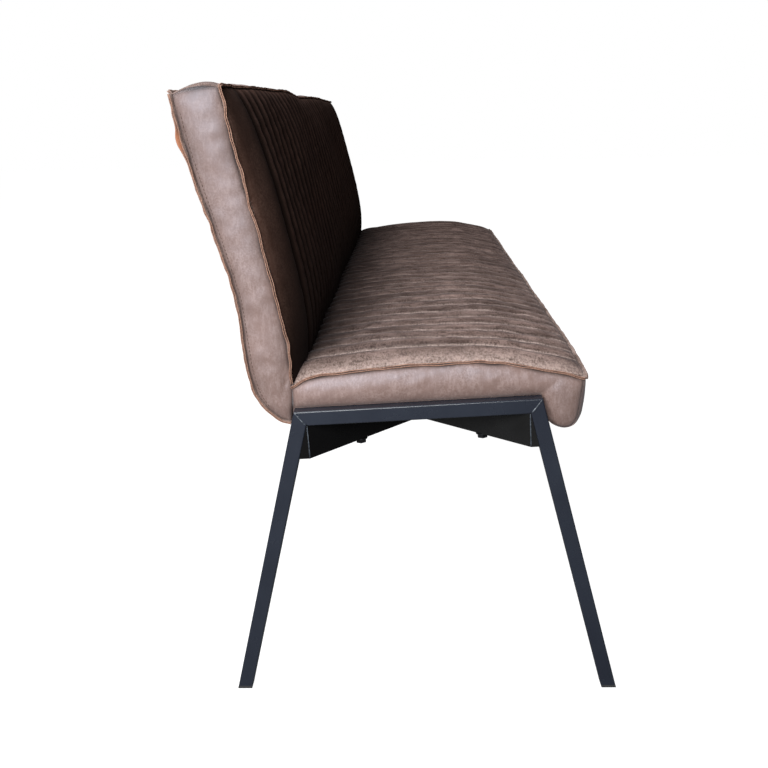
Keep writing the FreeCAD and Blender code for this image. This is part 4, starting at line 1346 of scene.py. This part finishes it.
def staples():
    """Little flat bars round the edge of the lining, turned this way and that."""
    low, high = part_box("seat_dust_cloth")
    along = np.arange(0.02, 0.98, STAPLE_PITCH / (high[0] - low[0]))
    across = np.arange(0.10, 0.92, STAPLE_PITCH / (high[1] - low[1]))
    places = [(t, e) for e in (0.03, 0.97) for t in along]
    places += [(e, t) for e in (0.008, 0.992) for t in across]
    u, w = np.array(places).T
    middle = lining_points(u, w) - (0, 0, 0.0004)
    turn = np.random.default_rng(5).uniform(-0.5, 0.5, len(u))
    turn = turn + np.where(np.abs(u - 0.5) > 0.49, np.pi / 2, 0)
    along, across = (np.stack([np.cos(a), np.sin(a), 0 * a], axis=1) for a in (turn, turn + np.pi / 2))
    box = np.array([(i, j, k) for i in (-0.5, 0.5) for j in (-0.5, 0.5) for k in (-0.5, 0.5)])
    faces = np.array([(0, 1, 3, 2), (4, 6, 7, 5), (0, 4, 5, 1), (2, 3, 7, 6), (0, 2, 6, 4), (1, 5, 7, 3)])
    points = (middle[:, None] + along[:, None] * box[None, :, :1] * STAPLE_LENGTH
              + across[:, None] * box[None, :, 1:2] * STAPLE_WIDE
              + np.array([0, 0, STAPLE_WIDE]) * box[None, :, 2:])
    index = faces[None] + (np.arange(len(u)) * len(box))[:, None, None]
    return mesh_piece("lining_staples", points.reshape(-1, 3), index.reshape(-1, 4))


staple_bars = dress(staples(), zinc, "zinc_steel")
print("staples", len(staple_bars.data.vertices) // 8)

# %% [markdown]
# ## Studio
# The bench stands alone on white. A white floor and wall would throw light everywhere and wash out the shade
# beside the back, so they are white to the camera alone and throw little light themselves. A broad soft light
# over the camera falls on the near end, weaker ones from above pick out the seat, and a faint one fills
# the front.

# %% Floor and surround
FLOOR_SIZE, FLOOR_STEPS, FLOOR_GLOW = 14.0, 40, 1.0
FLOOR_DROP = 0.0005              # under the feet, so that they don't flicker through it


def seen_by_camera(tree):
    """1 for what the camera sees directly, 0 for what only lights and reflects."""
    return tree.nodes.new("ShaderNodeLightPath").outputs["Is Camera Ray"]


def floor():
    """A wide plane that glows white for the camera."""
    line = np.linspace(-FLOOR_SIZE, FLOOR_SIZE, FLOOR_STEPS)
    x, y = np.meshgrid(line, line, indexing="ij")
    piece = grid_piece("studio_floor", np.stack([x, y, 0 * x - FLOOR_DROP], axis=2), (0, 0, 1))
    material, tree, shader = new_finish("studio_floor", 0.9, specular=0.0)
    where = coords(tree)
    tree.links.new(mixed(tree, noise(tree, where, 1.5), (0.15, 0.15, 0.15), (0.18, 0.18, 0.18)),
                   shader.inputs["Base Color"])
    shader.inputs["Emission Color"].default_value = (1, 1, 1, 1)
    glow = maths(tree, "MULTIPLY", seen_by_camera(tree), FLOOR_GLOW)
    tree.links.new(glow, shader.inputs["Emission Strength"])
    piece.data.materials.append(material)


def surround(strength, fill):
    """A world that is white to the camera and lights the bench with a weak, warm fill."""
    world = bpy.data.worlds.new("studio_surround")
    world.use_nodes = True
    tree = world.node_tree
    background = tree.nodes["Background"]
    seen = seen_by_camera(tree)
    tree.links.new(mixed(tree, seen, fill, (1.0, 1.0, 1.0)), background.inputs["Color"])
    tree.links.new(ranged(tree, seen, 0.0, 1.0, strength, 1.0), background.inputs["Strength"])
    bpy.context.scene.world = world


floor()
surround(0.03, (1.0, 0.70, 0.60))
print("floor and surround ready")


# %% Lights
def soft_light(name, place, aim, size, power, colour=(1, 1, 1)):
    """A rectangle of light at place, facing aim."""
    data = bpy.data.lights.new(name, "AREA")
    data.shape = "RECTANGLE"
    data.size, data.size_y = size
    data.energy = power
    data.color = colour
    light = bpy.data.objects.new(name, data)
    bpy.context.scene.collection.objects.link(light)
    place, aim = np.asarray(place, float), np.asarray(aim, float)
    back = unit(place - aim)
    right = unit(np.cross((0, 0, 1.0) if abs(back[2]) < 0.99 else (0, 1.0, 0), back))
    matrix = np.eye(4)
    matrix[:3] = np.stack([right, np.cross(back, right), back, place], axis=1)
    light.matrix_world = Matrix(matrix.tolist())


soft_light("front_fill", (0.6, -3.2, 1.5), (0.2, 0.0, 0.5), (2.5, 1.5), 4.0, (1.0, 0.86, 0.80))
soft_light("end_light", (-2.7, 0.60, 1.40), (-0.5, 0.1, 0.55), (1.6, 1.0), 115.0, (0.95, 0.98, 1.0))
soft_light("near_light", (-1.3, 0.45, 2.1), (-0.8, 0.0, 0.45), (0.7, 0.9), 14.0)
soft_light("top_light", (0.2, 1.25, 2.6), (0.1, -0.1, 0.45), (2.6, 0.8), 40.0)
bpy.context.scene.view_settings.view_transform = "Standard"
print("lights:", len(bpy.data.lights))
